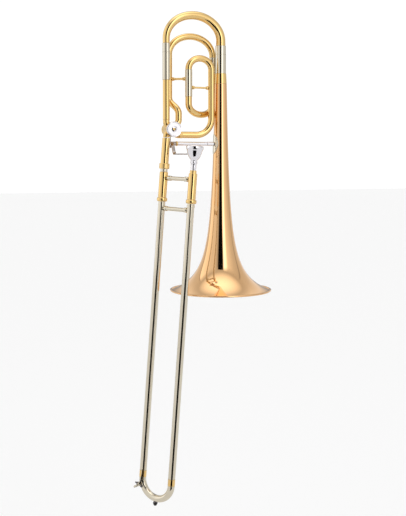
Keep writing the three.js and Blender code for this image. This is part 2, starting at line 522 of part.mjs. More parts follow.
// ---- bell brace ----
function makeBellBrace() {
  const { z, left, radius } = BRACE;
  const ferruleStart = BRACE_FERRULE.end - BRACE_FERRULE.length;
  add('bell_brace', alongX(revolveSolid([[0, BRACE.rodLeft], [BRACE.rod, BRACE.rodLeft], [BRACE.rod, left],
    [radius, left], [radius, ferruleStart - GAP], [0, ferruleStart - GAP]])).translate(0, 0, z),
  finish.silverPlate);
  add('brace_ferrule', alongX(rod(BRACE_FERRULE.radius, ferruleStart, BRACE_FERRULE.end)).translate(0, 0, z),
    finish.silverPlate);
  add('brace_collar', alongX(pipe(BRACE_COLLAR.radius, BRACE.rod + GAP, left - BRACE_COLLAR.length,
    left - GAP)).translate(0, 0, z), finish.yellowBrass);

  // leaf-shaped saddle that wraps the bell where the brace meets it
  const { halfWidth, halfHeight, thick, pinch, rings, corners } = SADDLE;
  const surface = bellHeights(z - halfHeight - 0.5, z + halfHeight + 0.5, rings);
  const shell = revolve([...surface.map((h) => [bellRadius(h) + GAP + thick, h]),
    ...surface.map((h) => [bellRadius(h) + GAP, h]).reverse()], BELL_SIDES);
  const leaf = arc([0, 0, 0], [halfWidth, 0, 0], [0, halfHeight, 0], 0, 2 * Math.PI, corners).slice(1)
    .map(({ point: p }) => [p.x * (1 - pinch * Math.abs(p.y / halfHeight)), p.y]);
  const cutter = plate(leaf, 5, 40).rotateX(Math.PI / 2).rotateZ(-Math.PI / 2).translate(0, 0, z);
  add('bell_saddle', overlap(shell, cutter), finish.silverPlate);
}

// ---- thumb lever ----
function makeThumbLever() {
  const { z } = BRACE;
  const hub = alongX(pipe(HUB.outer, HUB.inner, HUB.left, HUB.right)).translate(0, 0, z);

  // both arms are drawn in YZ and extruded along X
  const standing = (outline, width) => plate(outline, 0, width).rotateX(Math.PI / 2).rotateZ(Math.PI / 2);
  const arm = standing(LEVER_FRONT, LEVER_FRONT_WIDTH).translate(PADDLE.left, 0, z);
  const { left, right, front, back, corner, thick, curve } = PADDLE;
  const blade = plate([[left, back], [left, front + curve[1]], [left + curve[0], front],
    [right - corner, front], [right, front + corner], [right, back - corner], [right - corner, back]],
  PADDLE.z - thick / 2, thick);

  // rear arm to the link pin, which runs along X
  const drop = LEVER_HALF_SWING;
  const { root, past, halfHeight } = LEVER_REAR;
  const end = LEVER_ARM + past;
  const rear = standing([[root, -halfHeight], [end, -halfHeight], [end, halfHeight], [root, halfHeight]],
    LEVER_REAR.width).rotateX(-drop).translate(LEVER_REAR.x, 0, z);
  const pin = alongX(rod(LEVER_PIN.radius, LEVER_PIN.left, LINK_X + LEVER_PIN.past, PIN_SIDES))
    .translate(0, LEVER_ARM * Math.cos(drop), z - LEVER_ARM * Math.sin(drop));
  const clearance = alongX(rod(HUB.inner, HUB.cutLeft, HUB.cutRight)).translate(0, 0, z);
  add('thumb_lever', cut(join(hub, arm, blade, rear, pin), clearance), finish.silverPlate);
}

// ---- hand slide ----
const slide = new THREE.Group();
{
  const up = new THREE.Vector3(Math.sin(SLIDE_LEAN), 0, Math.cos(SLIDE_LEAN));
  const across = new THREE.Vector3(Math.cos(SLIDE_LEAN), 0, -Math.sin(SLIDE_LEAN))
    .multiplyScalar(Math.cos(SLIDE_TWIST)).add(new THREE.Vector3(0, -Math.sin(SLIDE_TWIST), 0));
  slide.matrixAutoUpdate = false;
  slide.matrix.makeBasis(across, up.clone().cross(across), up).setPosition(NECK_X, 0, SLIDE_TOP_Z);
  part.add(slide);
}
const addToSlide = (name, geometry, look, x = 0) => {
  add(name, geometry, look, slide).position.x = x;
};

// A brace along the slide frame's X between the two tubes, with thicker ends, cut to sit against them.
function slideBrace(name, { at, ends }, farRadius, nearRadius) {
  const { radius: waist, end, taper: slope, sunk, cutHalf } = SLIDE_BRACE;
  const [a, b] = [farRadius - sunk, SPAN - nearRadius + sunk];
  const bar = alongX(revolveSolid([[0, a], [end, a], [end, a + ends[0]], [waist, a + ends[0] + slope],
    [waist, b - ends[1] - slope], [end, b - ends[1]], [end, b], [0, b]])).translate(0, 0, -at);
  const tube = (radius, x) => rod(radius + GAP, -at - cutHalf, -at + cutHalf).translate(x, 0, 0);
  addToSlide(name, cut(bar, tube(farRadius, 0), tube(nearRadius, SPAN)), finish.nickelSilver);
}

function makeReceiver() {
  addToSlide('slide_receiver', revolve([[RECEIVER.bottomBore, -RECEIVER.bottom],
    [RECEIVER.bottomRadius, -RECEIVER.bottom], [RECEIVER.topRadius, -RECEIVER.top],
    [RECEIVER.topBore, -RECEIVER.top]]), finish.yellowBrass);
  const { top, bottom, radius, edge, bore, lip, lipTop } = NUT;
  addToSlide('lock_nut', revolve([[lip, -bottom], [radius - edge, -bottom], [radius, -bottom + edge],
    [radius, -top - edge], [radius - edge, -top], [bore, -top], [bore, -lipTop], [lip, -lipTop]]),
  finish.yellowBrass);
}

function makeInnerSlide() {
  const down = (corners) => corners.map(([r, distance]) => [r, -distance]);
  addToSlide('slide_tenon', revolve([...TENON.foot.map((r) => [r, -BARREL.top + GAP]),
    ...down(TENON.collar), ...down(TENON.cone)]), finish.nickelSilver);
  const { pocket, pocketTop, edge } = BARREL_BORE;
  const barrel = (name, radius, x, topBore) => addToSlide(name, revolve([[pocket, -BARREL.bottom],
    [radius, -BARREL.bottom], [radius, -BARREL.top - edge], [radius - edge, -BARREL.top],
    [topBore, -BARREL.top], [topBore, -pocketTop], [pocket, -pocketTop]]), finish.yellowBrass, x);
  barrel('cork_barrel_far', BARREL.farRadius, 0, BARREL_BORE.far);
  barrel('cork_barrel_near', BARREL.nearRadius, SPAN, BARREL_BORE.near);

  const ringTop = -BARREL.bottom - GAP;
  const ringBottom = ringTop - BARREL.ring;
  const { chamfer, chamferHeight } = BARREL_RING;
  const ring = [[pocket, ringBottom], [BARREL.ringRadius - chamfer, ringBottom],
    [BARREL.ringRadius, ringBottom + chamferHeight], [BARREL.ringRadius, ringTop - chamferHeight],
    [BARREL.ringRadius - chamfer, ringTop], [pocket, ringTop]];
  addToSlide('barrel_ring', revolve(ring), finish.yellowBrass);
  addToSlide('slide_lock', revolve(ring), finish.yellowBrass, SPAN);

  const innerTube = (name, x, top) => addToSlide(name, revolve([[INNER.bore, -INNER.bottom],
    [INNER.stocking, -INNER.bottom], [INNER.stocking, -INNER.stockingTop],
    [INNER.radius, -INNER.stockingTop + INNER.stockingTaper], [INNER.radius, -top], [INNER.bore, -top]]),
  finish.nickelSilver, x);
  innerTube('inner_tube_far', 0, INNER.farTop);
  innerTube('inner_tube_near', SPAN, INNER.nearTop);
  [['felt_pad_far', 0], ['felt_pad_near', SPAN]].forEach(([name, x]) =>
    addToSlide(name, pipe(FELT.outer, FELT.inner, -FELT.bottom, -FELT.top), finish.felt, x));

  slideBrace('inner_brace', INNER_BRACE, BARREL.farRadius, BARREL.nearRadius);
  const { bore, radius, topRadius, bottom } = MOUTH_RECEIVER;
  const rim = -MOUTHPIECE.receiver;
  addToSlide('mouthpiece_receiver', revolve([[bore[0], -bottom], [radius, -bottom],
    [radius, rim - MOUTH_RECEIVER.edge], [topRadius, rim], [bore[1], rim]]), finish.yellowBrass, SPAN);
  addToSlide('lead_pipe', pipe(LEAD_PIPE.outer, LEAD_PIPE.inner, -LEAD_PIPE.bottom, -LEAD_PIPE.top),
    finish.nickelSilver, SPAN);
}

function makeOuterSlide() {
  const ferruleBottom = OUTER.bottom + OUTER.ferrule;
  addToSlide('outer_tube_far', pipe(OUTER.radius, OUTER.bore, -OUTER.bottom, -OUTER.top),
    finish.nickelSilver);
  addToSlide('outer_tube_near', revolve([[OUTER.bore, -OUTER.bottom], [OUTER.radius, -OUTER.bottom],
    [OUTER.radius, LOCK_BAND.bottom], [LOCK_BAND.radius, LOCK_BAND.bottom], [LOCK_BAND.radius, LOCK_BAND.top],
    [OUTER.radius, LOCK_BAND.top], [OUTER.radius, -OUTER.top], [OUTER.bore, -OUTER.top]]),
  finish.nickelSilver, SPAN);
  [['far', 0], ['near', SPAN]].forEach(([side, x]) => addToSlide('bow_ferrule_' + side,
    pipe(OUTER.radius + BOW_FERRULE_OVER, OUTER.bore, -ferruleBottom, -OUTER.bottom - GAP),
    finish.yellowBrass, x));
  slideBrace('outer_brace', OUTER_BRACE, OUTER.radius, OUTER.radius);

  const top = -ferruleBottom - GAP;
  const bow = [
    station([0, 0, top], [0, 0, -1]),
    ...arc([SPAN / 2, 0, top - END_BOW.straight], [-SPAN / 2, 0, 0], [0, 0, -END_BOW.drop], 0, Math.PI,
      END_BOW.steps),
    station([SPAN, 0, top], [0, 0, 1]),
  ];
  const apex = top - END_BOW.straight - END_BOW.drop - OUTER.radius;
  const seat = rod(BUMPER_SEAT.radius, apex - BUMPER_SEAT.below, apex + BUMPER_SEAT.sunk, FINE_SIDES)
    .translate(SPAN / 2, 0, 0);
  const nipple = overNipple(NIPPLE.radius, NIPPLE.from, NIPPLE.to);
  const bore = overNipple(NIPPLE.bore, NIPPLE.from, NIPPLE.boreTo);
  const saddle = placeKey(onKeyHinge(box(...KEY_SADDLE)));
  const { half, from, to, halfHeight } = KEY_POST;
  const posts = [-KEY_POST.at, KEY_POST.at].map((y) =>
    placeKey(onKeyHinge(box(from, to, y - half, y + half, -halfHeight, halfHeight))));
  const screwHole = placeKey(keyScrewHole());
  addToSlide('end_bow', cut(join(sweep(bow, OUTER.radius, 0), seat, nipple, saddle, ...posts),
    sweep(bow, OUTER.bore, 0), bore, screwHole), finish.nickelSilver);
  const tip = apex - BUMPER.length;
  const foot = BUMPER.foot.map(([r, height]) => [r, tip + height]);
  const bumperRadius = BUMPER.foot.at(-1)[0];
  addToSlide('bumper', revolveSolid([[0, tip], ...foot, [bumperRadius, apex - BUMPER_TOP],
    [0, apex - BUMPER_TOP]], FINE_SIDES), finish.rubber, SPAN / 2);
}

// ---- water key, on the far leg of the end bow ----
// Turns a shape drawn with +X outward and +Z up to face where the key does, and puts it at the key's height.
const placeKey = (geometry) => geometry.rotateZ(WATER_KEY.turn).translate(0, 0, -WATER_KEY.at);

// Moves a shape drawn about a hinge along Y onto the key's hinge.
const onKeyHinge = (geometry) =>
  geometry.rotateX(KEY_HINGE.slant).translate(KEY_HINGE.out, KEY_HINGE.side, KEY_HINGE.rise);

const keyScrewHole = () => onKeyHinge(alongY(rod(KEY_SCREW, -9, 9, FINE_SIDES)));

// A round piece on the nipple's axis, from and to distances out from the far tube's axis.
const nippleRod = (radius, from, to) =>
  alongX(rod(radius, from, to, FINE_SIDES)).translate(0, 0, WATER_KEY.nippleRise);
const overNipple = (radius, from, to) => placeKey(nippleRod(radius, from, to));

function makeWaterKey() {
  const arm = plate(KEY_ARM, KEY_ARM_AT.from, KEY_ARM_AT.thick).rotateY(Math.PI / 2).rotateX(Math.PI / 2);
  const cup = nippleRod(KEY_CUP.radius, KEY_CUP.from, KEY_CUP.to);
  const knuckle = pipe(KEY_KNUCKLE.radius, KEY_SCREW, -KEY_KNUCKLE.half, KEY_KNUCKLE.half, FINE_SIDES);
  const key = cut(join(onKeyHinge(alongY(knuckle)), arm, cup), keyScrewHole());
  addToSlide('water_key', placeKey(key), finish.nickelSilver);
  addToSlide('water_key_cork', overNipple(KEY_CORK.radius, KEY_CORK.from, KEY_CORK.to), finish.cork);
  addToSlide('water_key_screw', placeKey(onKeyHinge(alongY(revolveSolid(KEY_SCREW_PROFILE, 10)))),
    finish.steel);
}

// ---- mouthpiece ----
function makeMouthpiece() {
  const corners = [...MOUTHPIECE_OUTSIDE, ...MOUTHPIECE_INSIDE]
    .map(([r, below]) => [r, -MOUTHPIECE.rim - below]);
  addToSlide('mouthpiece', revolve(corners, MOUTHPIECE_SIDES), finish.silverPlate, SPAN);
}

makeBell();
makeTuningSlide();
makeRotor();
makeGooseneck();
makeFTubing();
makeBellBrace();
makeThumbLever();
makeReceiver();
makeInnerSlide();
makeOuterSlide();
makeWaterKey();
makeMouthpiece();

export default part;
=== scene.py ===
import json
import math

import bmesh
import bpy
from mathutils import Matrix, Vector


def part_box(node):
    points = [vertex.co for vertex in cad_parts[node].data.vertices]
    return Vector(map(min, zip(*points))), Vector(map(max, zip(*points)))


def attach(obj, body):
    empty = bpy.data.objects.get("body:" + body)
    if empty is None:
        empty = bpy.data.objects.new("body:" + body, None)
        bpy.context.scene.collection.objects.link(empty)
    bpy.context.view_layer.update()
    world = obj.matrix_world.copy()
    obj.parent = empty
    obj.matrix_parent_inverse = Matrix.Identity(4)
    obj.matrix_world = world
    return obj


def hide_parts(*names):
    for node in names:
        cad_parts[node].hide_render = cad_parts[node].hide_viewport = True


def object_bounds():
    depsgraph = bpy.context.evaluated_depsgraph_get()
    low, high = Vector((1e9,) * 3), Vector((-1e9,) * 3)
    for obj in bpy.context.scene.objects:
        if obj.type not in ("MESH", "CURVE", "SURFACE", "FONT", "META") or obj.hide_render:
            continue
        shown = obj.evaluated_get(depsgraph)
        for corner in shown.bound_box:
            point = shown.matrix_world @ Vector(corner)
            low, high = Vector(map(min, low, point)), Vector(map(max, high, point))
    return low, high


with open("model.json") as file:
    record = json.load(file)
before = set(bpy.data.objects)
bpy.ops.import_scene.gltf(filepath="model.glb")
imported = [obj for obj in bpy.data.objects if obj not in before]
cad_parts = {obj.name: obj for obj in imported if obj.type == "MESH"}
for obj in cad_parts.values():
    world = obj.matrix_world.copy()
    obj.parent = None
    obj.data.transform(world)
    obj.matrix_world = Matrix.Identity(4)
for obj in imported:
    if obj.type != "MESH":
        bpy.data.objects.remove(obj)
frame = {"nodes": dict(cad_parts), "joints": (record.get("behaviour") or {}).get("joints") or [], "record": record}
cad_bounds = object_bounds()

MM = 0.001
RECORD = frame["record"]
BODY_OF = {node: body for body, nodes in RECORD["behaviour"]["bodies"].items() for node in nodes}
SLOT_OF = {entry["node"]: entry["material_slot"] for entry in RECORD["subparts"]}
JOINT = {joint["name"]: joint for joint in frame["joints"]}

# ---- sizes, in metres ----
ROUND = 96                       # sides of a turned piece
TUBE_SIDES = 48                  # sides of a bent tube
BELL_SIDES = 160
EDGE = 0.25 * MM                 # softened edge of a turned piece
HOLD = 0.3 * MM                  # an extra ring this far inside a tube's end keeps the end crisp

BELL = {"rim": 0.12065, "stem": 0.0125, "stem_run": 2.4, "throat": 0.058, "flare": 1.42, "sheet": 0.0008,
        "first": 0.0019, "steps": 90}
BEAD = {"radius": 0.0021, "start": -105, "sweep": 285, "steps": 28}  # rolled rim, in degrees round its wire
SADDLE = {"inner": 0.0003, "rim": 0.0008, "outer": 0.0012, "pinch": 0.12, "rings": 9, "around": 96}
CROOK = {"spring": 0.590, "rise": 0.0567, "neck": 0.008, "bell": 0.01135}
WALL = 0.0006
BRANCH = 0.0077                  # radius of the F attachment's bent tubes
BOW_WALL = 0.0003
F_FRONT_RIGHT_X, F_REAR_LEFT_X, F_PORT_X = -0.0263, -0.1223, -0.1066
F_SLEEVE_RADIUS = 0.0085
F_SLEEVE_GAP = 0.0003
RUN_Z = 0.369
QUARTER_BEND = 0.037
SMALL_ARC = {"spring": 0.522, "rise": 0.025}
REAR_ARC = {"spring": 0.557, "rise": 0.0435}
F_BOW = {"spring": 0.441, "drop": 0.024}
S_BEND = {"top": 0.457, "bottom": 0.417, "ease": 0.019}
F_BRACE_UPPER = {"z": 0.499, "radii": (0.0042, 0.0027), "collars": (0.0045, 0.0045)}
F_BRACE_LOWER = {"z": 0.479, "radii": (0.0042, 0.0023), "collars": (0.0045, 0.0045)}
FILLET = 0.0012                  # where a brace's collar runs down to its rod
PORT = {"offset": 0.012, "bend": 0.012, "radius": 0.0077, "root": 0.0112, "stub": 0.001, "neck_stub": 0.005}
CASING = {"half": 0.0165, "bore": 0.0147, "radius": 0.0168}
# a shallow groove near each end of the casing: its depth, its distance from each end and its steps along
GROOVE = {"depth": 0.0004, "from_front": 0.0022, "from_back": 0.0030, "steps": (0.0002, 0.0006, 0.0008)}
# cap: raised rim with a groove inside it, flat face, and a dished hub round the spindle, as [radius, depth]
# in mm
VALVE_CAP = [(3.3, -22.9), (6.0, -21.95), (6.3, -20.9), (7.0, -20.9), (7.1, -22.5), (14.5, -22.5),
             (14.6, -21.2), (15.5, -21.2), (15.6, -22.8), (16.7, -22.95), (17.5, -22.6), (17.9, -21.9),
             (18.0, -21.0), (18.0, -17.6), (17.4, -16.8), (3.3, -16.8)]
OUTER = {"radius": 0.00805, "bore": 0.0076}
END_BOW = {"drop": 0.0386, "straight": 0.001}
BUMPER_SEAT = {"radius": 0.0046, "below": 0.0018, "sunk": 0.0018}
# water key fittings: the key faces a direction about the far tube, and its hinge lies aslant
KEY = {"down": 0.806, "turn": math.radians(-58)}
KEY_HINGE = {"at": (0.0131, -0.0055, 0.0022), "slant": math.radians(-33)}
NIPPLE = {"rise": 0.012, "radius": 0.0026, "bore": 0.0015, "from": 0.007, "to": 0.0102}
KEY_SADDLE = ((-0.0061, -0.0067, -0.0026), (-0.0023, 0.013, 0.0026))
KEY_POSTS = [((-0.006, y - 0.0009, -0.0019), (0.0019, y + 0.0009, 0.0019)) for y in (-0.0058, 0.0058)]
BARREL = {"far": 0.00985, "near": 0.0097}
BRACE_Z = 0.3485
SLIDE_BRACE_RADII = (0.0059, 0.00475)
INNER_BRACE = {"at": 0.093, "collars": (0.013, 0.012)}
OUTER_BRACE = {"at": 0.163, "collars": (0.0085, 0.0085)}
NUT_FLUTES = {"count": 40, "depth": 0.12 * MM, "beyond": 11.7 * MM}
# mouthpiece outline below its rim, as mm [radius, height]: rim, cup and shank outside, bore and cup inside
MOUTHPIECE = [
    (13.4, -1.2), (14.2, -0.3), (15.4, 0.0), (17.0, 0.0), (18.6, -0.7), (19.5, -2.0), (19.8, -4.0),
    (19.8, -6.2), (19.4, -8.3), (18.5, -10.0), (17.6, -11.2),
    (17.2, -12.6), (16.8, -14.8), (16.1, -17.6), (15.0, -21.0), (13.6, -24.4), (11.8, -27.7), (9.6, -30.6),
    (7.7, -33.0), (7.1, -34.8), (7.2, -36.2), (8.2, -37.4), (8.35, -38.8), (7.9, -40.0), (7.0, -41.4),
    (6.6, -43.5), (6.4, -52.0), (6.0, -62.0), (5.3, -83.0),
    (4.6, -83.0), (3.6, -40.0), (3.3, -26.0), (5.5, -22.0), (9.5, -17.0), (11.8, -10.5), (12.6, -4.0)]


# ---- places, read from the frame ----
def middle(node):
    low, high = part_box(node)
    return (low + high) / 2


def place(origin, axis, across=None):
    """A frame at origin whose +Z is axis, and whose +X is across where that matters."""
    up = Vector(axis).normalized()
    side = Vector(across) if across else (Vector((1, 0, 0)) if abs(up.x) < 0.9 else Vector((0, 0, 1)))
    side = (side - up * side.dot(up)).normalized()
    matrix = Matrix((side, up.cross(side), up)).transposed().to_4x4()
    matrix.translation = Vector(origin)
    return matrix


def upright(node):
    """The frame of an upright tube: its axis runs along +Z through the middle of its box."""
    centre = middle(node)
    return place((centre.x, centre.y, 0), (0, 0, 1))


SLIDE_UP = -Vector(JOINT["hand_slide"]["axis"]).normalized()
ACROSS = middle("outer_tube_near") - middle("outer_tube_far")
ACROSS -= SLIDE_UP * ACROSS.dot(SLIDE_UP)
SPAN = ACROSS.length
ACROSS.normalize()
SLIDE_TOP = Vector(JOINT["slide_swivel"]["pos_m"])


def on_slide(x=0.0):
    """The hand slide's frame, with its origin x of the way from the far tube to the near one."""
    return place(SLIDE_TOP + ACROSS * (SPAN * x), SLIDE_UP, ACROSS)


ROTOR_AT = Vector(JOINT["rotor_turn"]["pos_m"])
ROTOR_PLACE = place(ROTOR_AT, (0, 1, 0), (1, 0, 0))
NECK_X = middle("gooseneck").x
F_FRONT_LEFT = middle("f_slide_leg_front").xy
F_REAR_RIGHT = middle("f_slide_leg_rear").xy
F_FRONT_RIGHT = Vector((F_FRONT_RIGHT_X, F_FRONT_LEFT.y))
F_REAR_LEFT = Vector((F_REAR_LEFT_X, F_REAR_RIGHT.y))


# ---- materials ----
# polished metal: noise scales per metre, how strongly each one shows, and the depths of the bumps in metres
POLISH = {"clouds": 9.0, "cloud_share": 0.45, "specks": 420.0, "speck_shade": 0.82, "marks": 55.0,
          "gloss": (0.8, 1.5), "lines": (900.0, 900.0, 30.0), "line_share": 0.004, "waves": 26.0,
          "waviness": 0.02, "depth": 0.0015}
COAT_ROUGHNESS = 0.05
RUBBER = {"wear": 260.0, "gloss": 500.0, "grain": 1500.0,
          "dark": (0.006, 0.006, 0.007), "worn": (0.03, 0.029, 0.028)}
CORK = {"grain": 900.0, "gloss": 700.0, "dark": (0.20, 0.10, 0.045), "light": (0.46, 0.28, 0.14)}
FELT = {"fibres": 1800.0, "dark": (0.02, 0.014, 0.012), "light": (0.07, 0.05, 0.045), "sheen": 0.4}


def node(tree, kind, **values):
    made = tree.nodes.new(kind)
    for name, value in values.items():
        if name in made.inputs:
            made.inputs[name].default_value = value
        else:
            setattr(made, name, value)
    return made


def noise(tree, coordinates, scale, detail=3.0):
    made = node(tree, "ShaderNodeTexNoise", Scale=scale, Detail=detail, Roughness=0.55)
    tree.links.new(coordinates, made.inputs["Vector"])
    return made.outputs["Fac"]


def spread(tree, value, low, high, start=0.3, end=0.7):
    """The value's middle range stretched over low to high."""
    made = node(tree, "ShaderNodeMapRange",
                **{"From Min": start, "From Max": end, "To Min": low, "To Max": high})
    tree.links.new(value, made.inputs["Value"])
    return made.outputs["Result"]


def blend_colour(tree, fac, first, second):
    made = node(tree, "ShaderNodeMix", data_type="RGBA")
    tree.links.new(fac, made.inputs["Factor"])
    for socket, colour in (("A", first), ("B", second)):
        target = [s for s in made.inputs if s.name == socket and s.type == "RGBA"][0]
        if isinstance(colour, bpy.types.NodeSocket):
            tree.links.new(colour, target)
        else:
            target.default_value = (*colour, 1)
    return [s for s in made.outputs if s.type == "RGBA"][0]


def new_material(name):
    material = bpy.data.materials.new(name)
    material.use_nodes = True
    tree = material.node_tree
    shader = tree.nodes["Principled BSDF"]
    coordinates = tree.nodes.new("ShaderNodeTexCoord").outputs["Object"]
    return material, tree, shader, coordinates


def bump(tree, shader, height, strength, distance):
    made = node(tree, "ShaderNodeBump", Strength=strength, Distance=distance)
    tree.links.new(height, made.inputs["Height"])
    tree.links.new(made.outputs["Normal"], shader.inputs["Normal"])


def metal(name, colour, aged, roughness, coat=0.0):
    """Polished metal: cloudy ageing, small specks, handling marks in the gloss, fine polishing lines."""
    material, tree, shader, coordinates = new_material(name)
    shader.inputs["Metallic"].default_value = 1.0
    if coat:
        shader.inputs["Coat Weight"].default_value = coat
        shader.inputs["Coat Roughness"].default_value = COAT_ROUGHNESS
    cloudy = noise(tree, coordinates, POLISH["clouds"], 4.0)
    clouds = spread(tree, cloudy, 0.0, POLISH["cloud_share"], 0.42, 0.75)
    specks = spread(tree, noise(tree, coordinates, POLISH["specks"], 2.0), 0.0, 1.0, 0.66, 0.78)
    aged_base = blend_colour(tree, clouds, colour, aged)
    spotted = tuple(POLISH["speck_shade"] * channel for channel in aged)
    tree.links.new(blend_colour(tree, specks, aged_base, spotted), shader.inputs["Base Color"])
    marks = noise(tree, coordinates, POLISH["marks"], 5.0)
    glossiest, dullest = (roughness * share for share in POLISH["gloss"])
    tree.links.new(spread(tree, marks, glossiest, dullest), shader.inputs["Roughness"])
    stretched = node(tree, "ShaderNodeMapping", Scale=POLISH["lines"])
    tree.links.new(coordinates, stretched.inputs["Vector"])
    lines = noise(tree, stretched.outputs["Vector"], 1.0, 2.0)
    waves = noise(tree, coordinates, POLISH["waves"], 1.0)
    total = node(tree, "ShaderNodeMath", operation="MULTIPLY_ADD")
    tree.links.new(lines, total.inputs[0])
    total.inputs[1].default_value = POLISH["line_share"]
    tree.links.new(waves, total.inputs[2])
    bump(tree, shader, total.outputs["Value"], POLISH["waviness"], POLISH["depth"])
    return material


def rubber(name):
    material, tree, shader, coordinates = new_material(name)
    worn = spread(tree, noise(tree, coordinates, RUBBER["wear"]), 0.0, 1.0, 0.45, 0.8)
    tree.links.new(blend_colour(tree, worn, RUBBER["dark"], RUBBER["worn"]), shader.inputs["Base Color"])
    gloss = spread(tree, noise(tree, coordinates, RUBBER["gloss"]), 0.5, 0.8)
    tree.links.new(gloss, shader.inputs["Roughness"])
    bump(tree, shader, noise(tree, coordinates, RUBBER["grain"], 4.0), 0.3, 0.0002)
    return material


def cork(name):
    material, tree, shader, coordinates = new_material(name)
    grains = node(tree, "ShaderNodeTexVoronoi", Scale=CORK["grain"])
    tree.links.new(coordinates, grains.inputs["Vector"])
    shade = spread(tree, grains.outputs["Distance"], 0.0, 1.0, 0.1, 0.7)
    tree.links.new(blend_colour(tree, shade, CORK["dark"], CORK["light"]), shader.inputs["Base Color"])
    gloss = spread(tree, noise(tree, coordinates, CORK["gloss"]), 0.75, 0.95)
    tree.links.new(gloss, shader.inputs["Roughness"])
    bump(tree, shader, grains.outputs["Distance"], 0.5, 0.0002)
    return material


def felt(name):
    material, tree, shader, coordinates = new_material(name)
    fibres = noise(tree, coordinates, FELT["fibres"], 6.0)
    colour = blend_colour(tree, spread(tree, fibres, 0.0, 1.0), FELT["dark"], FELT["light"])
    tree.links.new(colour, shader.inputs["Base Color"])
    tree.links.new(spread(tree, fibres, 0.85, 1.0), shader.inputs["Roughness"])
    shader.inputs["Sheen Weight"].default_value = FELT["sheen"]
    bump(tree, shader, fibres, 0.6, 0.0003)
    return material


# each metal's colour, its aged colour and its roughness
MATERIAL = {
    "yellow_brass": metal("yellow_brass", (0.88, 0.61, 0.25), (0.83, 0.53, 0.18), 0.055, coat=0.2),
    "gold_brass": metal("gold_brass", (0.87, 0.535, 0.265), (0.82, 0.47, 0.21), 0.05, coat=0.12),
    "nickel_silver": metal("nickel_silver", (0.74, 0.675, 0.545), (0.65, 0.57, 0.43), 0.08, coat=0.1),
    "silver_plate": metal("silver_plate", (0.90, 0.88, 0.91), (0.80, 0.77, 0.78), 0.05),
    "linkage": metal("linkage", (0.52, 0.46, 0.42), (0.34, 0.26, 0.20), 0.14),
    "steel": metal("steel", (0.20, 0.18, 0.19), (0.09, 0.08, 0.09), 0.25),
    "rubber": rubber("rubber"),
    "cork": cork("cork"),
    "felt": felt("felt"),
}


# ---- mesh makers ----
def new_object(name, mesh):
    made = bpy.data.objects.new(name, mesh)
    bpy.context.scene.collection.objects.link(made)
    return made


def settle(made, cad_node, finish=None):
    """Gives a fine piece its CAD node's finish and body, and lets it stand for that node."""
    slot = SLOT_OF[cad_node]
    made.data.materials.clear()
    made.data.materials.append(MATERIAL[finish or slot])
    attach(made, BODY_OF[cad_node])
    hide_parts(cad_node)
    return made


def mesh_from(name, build):
    """A smooth-shaded object from a function that fills a bmesh."""
    work = bmesh.new()
    build(work)
    bmesh.ops.recalc_face_normals(work, faces=work.faces)
    for face in work.faces:
        face.smooth = True
    mesh = bpy.data.meshes.new(name)
    work.to_mesh(mesh)
    work.free()
    return new_object(name, mesh)


def bridge(work, first, second, closed=True):
    count = len(first)
    for i in range(count if closed else count - 1):
        j = (i + 1) % count
        work.faces.new((first[i], first[j], second[j], second[i]))


ON_AXIS = 2e-5                   # a corner nearer to the axis than this lies on it
OFF_MERIDIAN = 0.03              # a vertex turned further than this from the meridian isn't on it
SAME_CORNER = 3e-5


def meridian(cad_node, where):
    """The [radius, height] outline of a turned CAD node, read off one meridian of its mesh."""
    mesh = frame["nodes"][cad_node].data
    inverse = where.inverted()
    points = [inverse @ v.co for v in mesh.vertices]
    widest = max(points, key=lambda p: p.xy.length).xy.normalized()
    corners, index = [], {}
    for i, p in enumerate(points):
        radius = p.xy.length
        if radius > ON_AXIS and (p.xy.normalized() - widest).length > OFF_MERIDIAN:
            continue
        corner = Vector((radius if radius > ON_AXIS else 0.0, p.z))
        match = next((k for k, c in enumerate(corners) if (c - corner).length < SAME_CORNER), None)
        if match is None:
            match = len(corners)
            corners.append(corner)
        index[i] = match
    links = {k: set() for k in range(len(corners))}
    for edge in mesh.edges:
        a, b = (index.get(v) for v in edge.vertices)
        if a is not None and b is not None and a != b and (corners[a].x or corners[b].x):
            links[a].add(b)
            links[b].add(a)
    ends = [k for k in links if corners[k].x == 0.0]
    walk = [min(ends, key=lambda k: corners[k].y) if ends else 0]
    while True:
        onward = [k for k in links[walk[-1]] if k not in walk]
        if not onward:
            return [corners[k] for k in walk], not ends
        walk.append(min(onward, key=lambda k: (corners[k] - corners[walk[-1]]).length))


LEAST_TURN = math.radians(3)     # a corner that turns less than this is left as it is
LONG_STRETCH = 2 * MM            # a stretch longer than this gets a point near each end
STRETCH_INSET = 0.4 * MM


def soften(outline, closed, radius, steps=4):
    """Rounds an outline's corners, and holds its long straight stretches straight."""
    count = len(outline)
    rounded = []
    for i, corner in enumerate(outline):
        if not closed and i in (0, count - 1):
            rounded.append(corner)
            continue
        before, after = outline[i - 1] - corner, outline[(i + 1) % count] - corner
        turn = math.pi - before.angle(after)
        if turn < LEAST_TURN:
            rounded.append(corner)
            continue
        cut = min(radius, 0.45 * before.length, 0.45 * after.length)
        start, end = corner + before.normalized() * cut, corner + after.normalized() * cut
        for k in range(steps + 1):
            t = k / steps
            rounded.append(start * (1 - t) ** 2 + corner * (2 * t * (1 - t)) + end * t ** 2)
    held = []
    for i, point in enumerate(rounded):
        held.append(point)
        following = rounded[(i + 1) % len(rounded)]
        reach = following - point
        if (closed or i < len(rounded) - 1) and reach.length > LONG_STRETCH:
            inset = reach.normalized() * STRETCH_INSET
            held += [point + inset, following - inset]
    return held


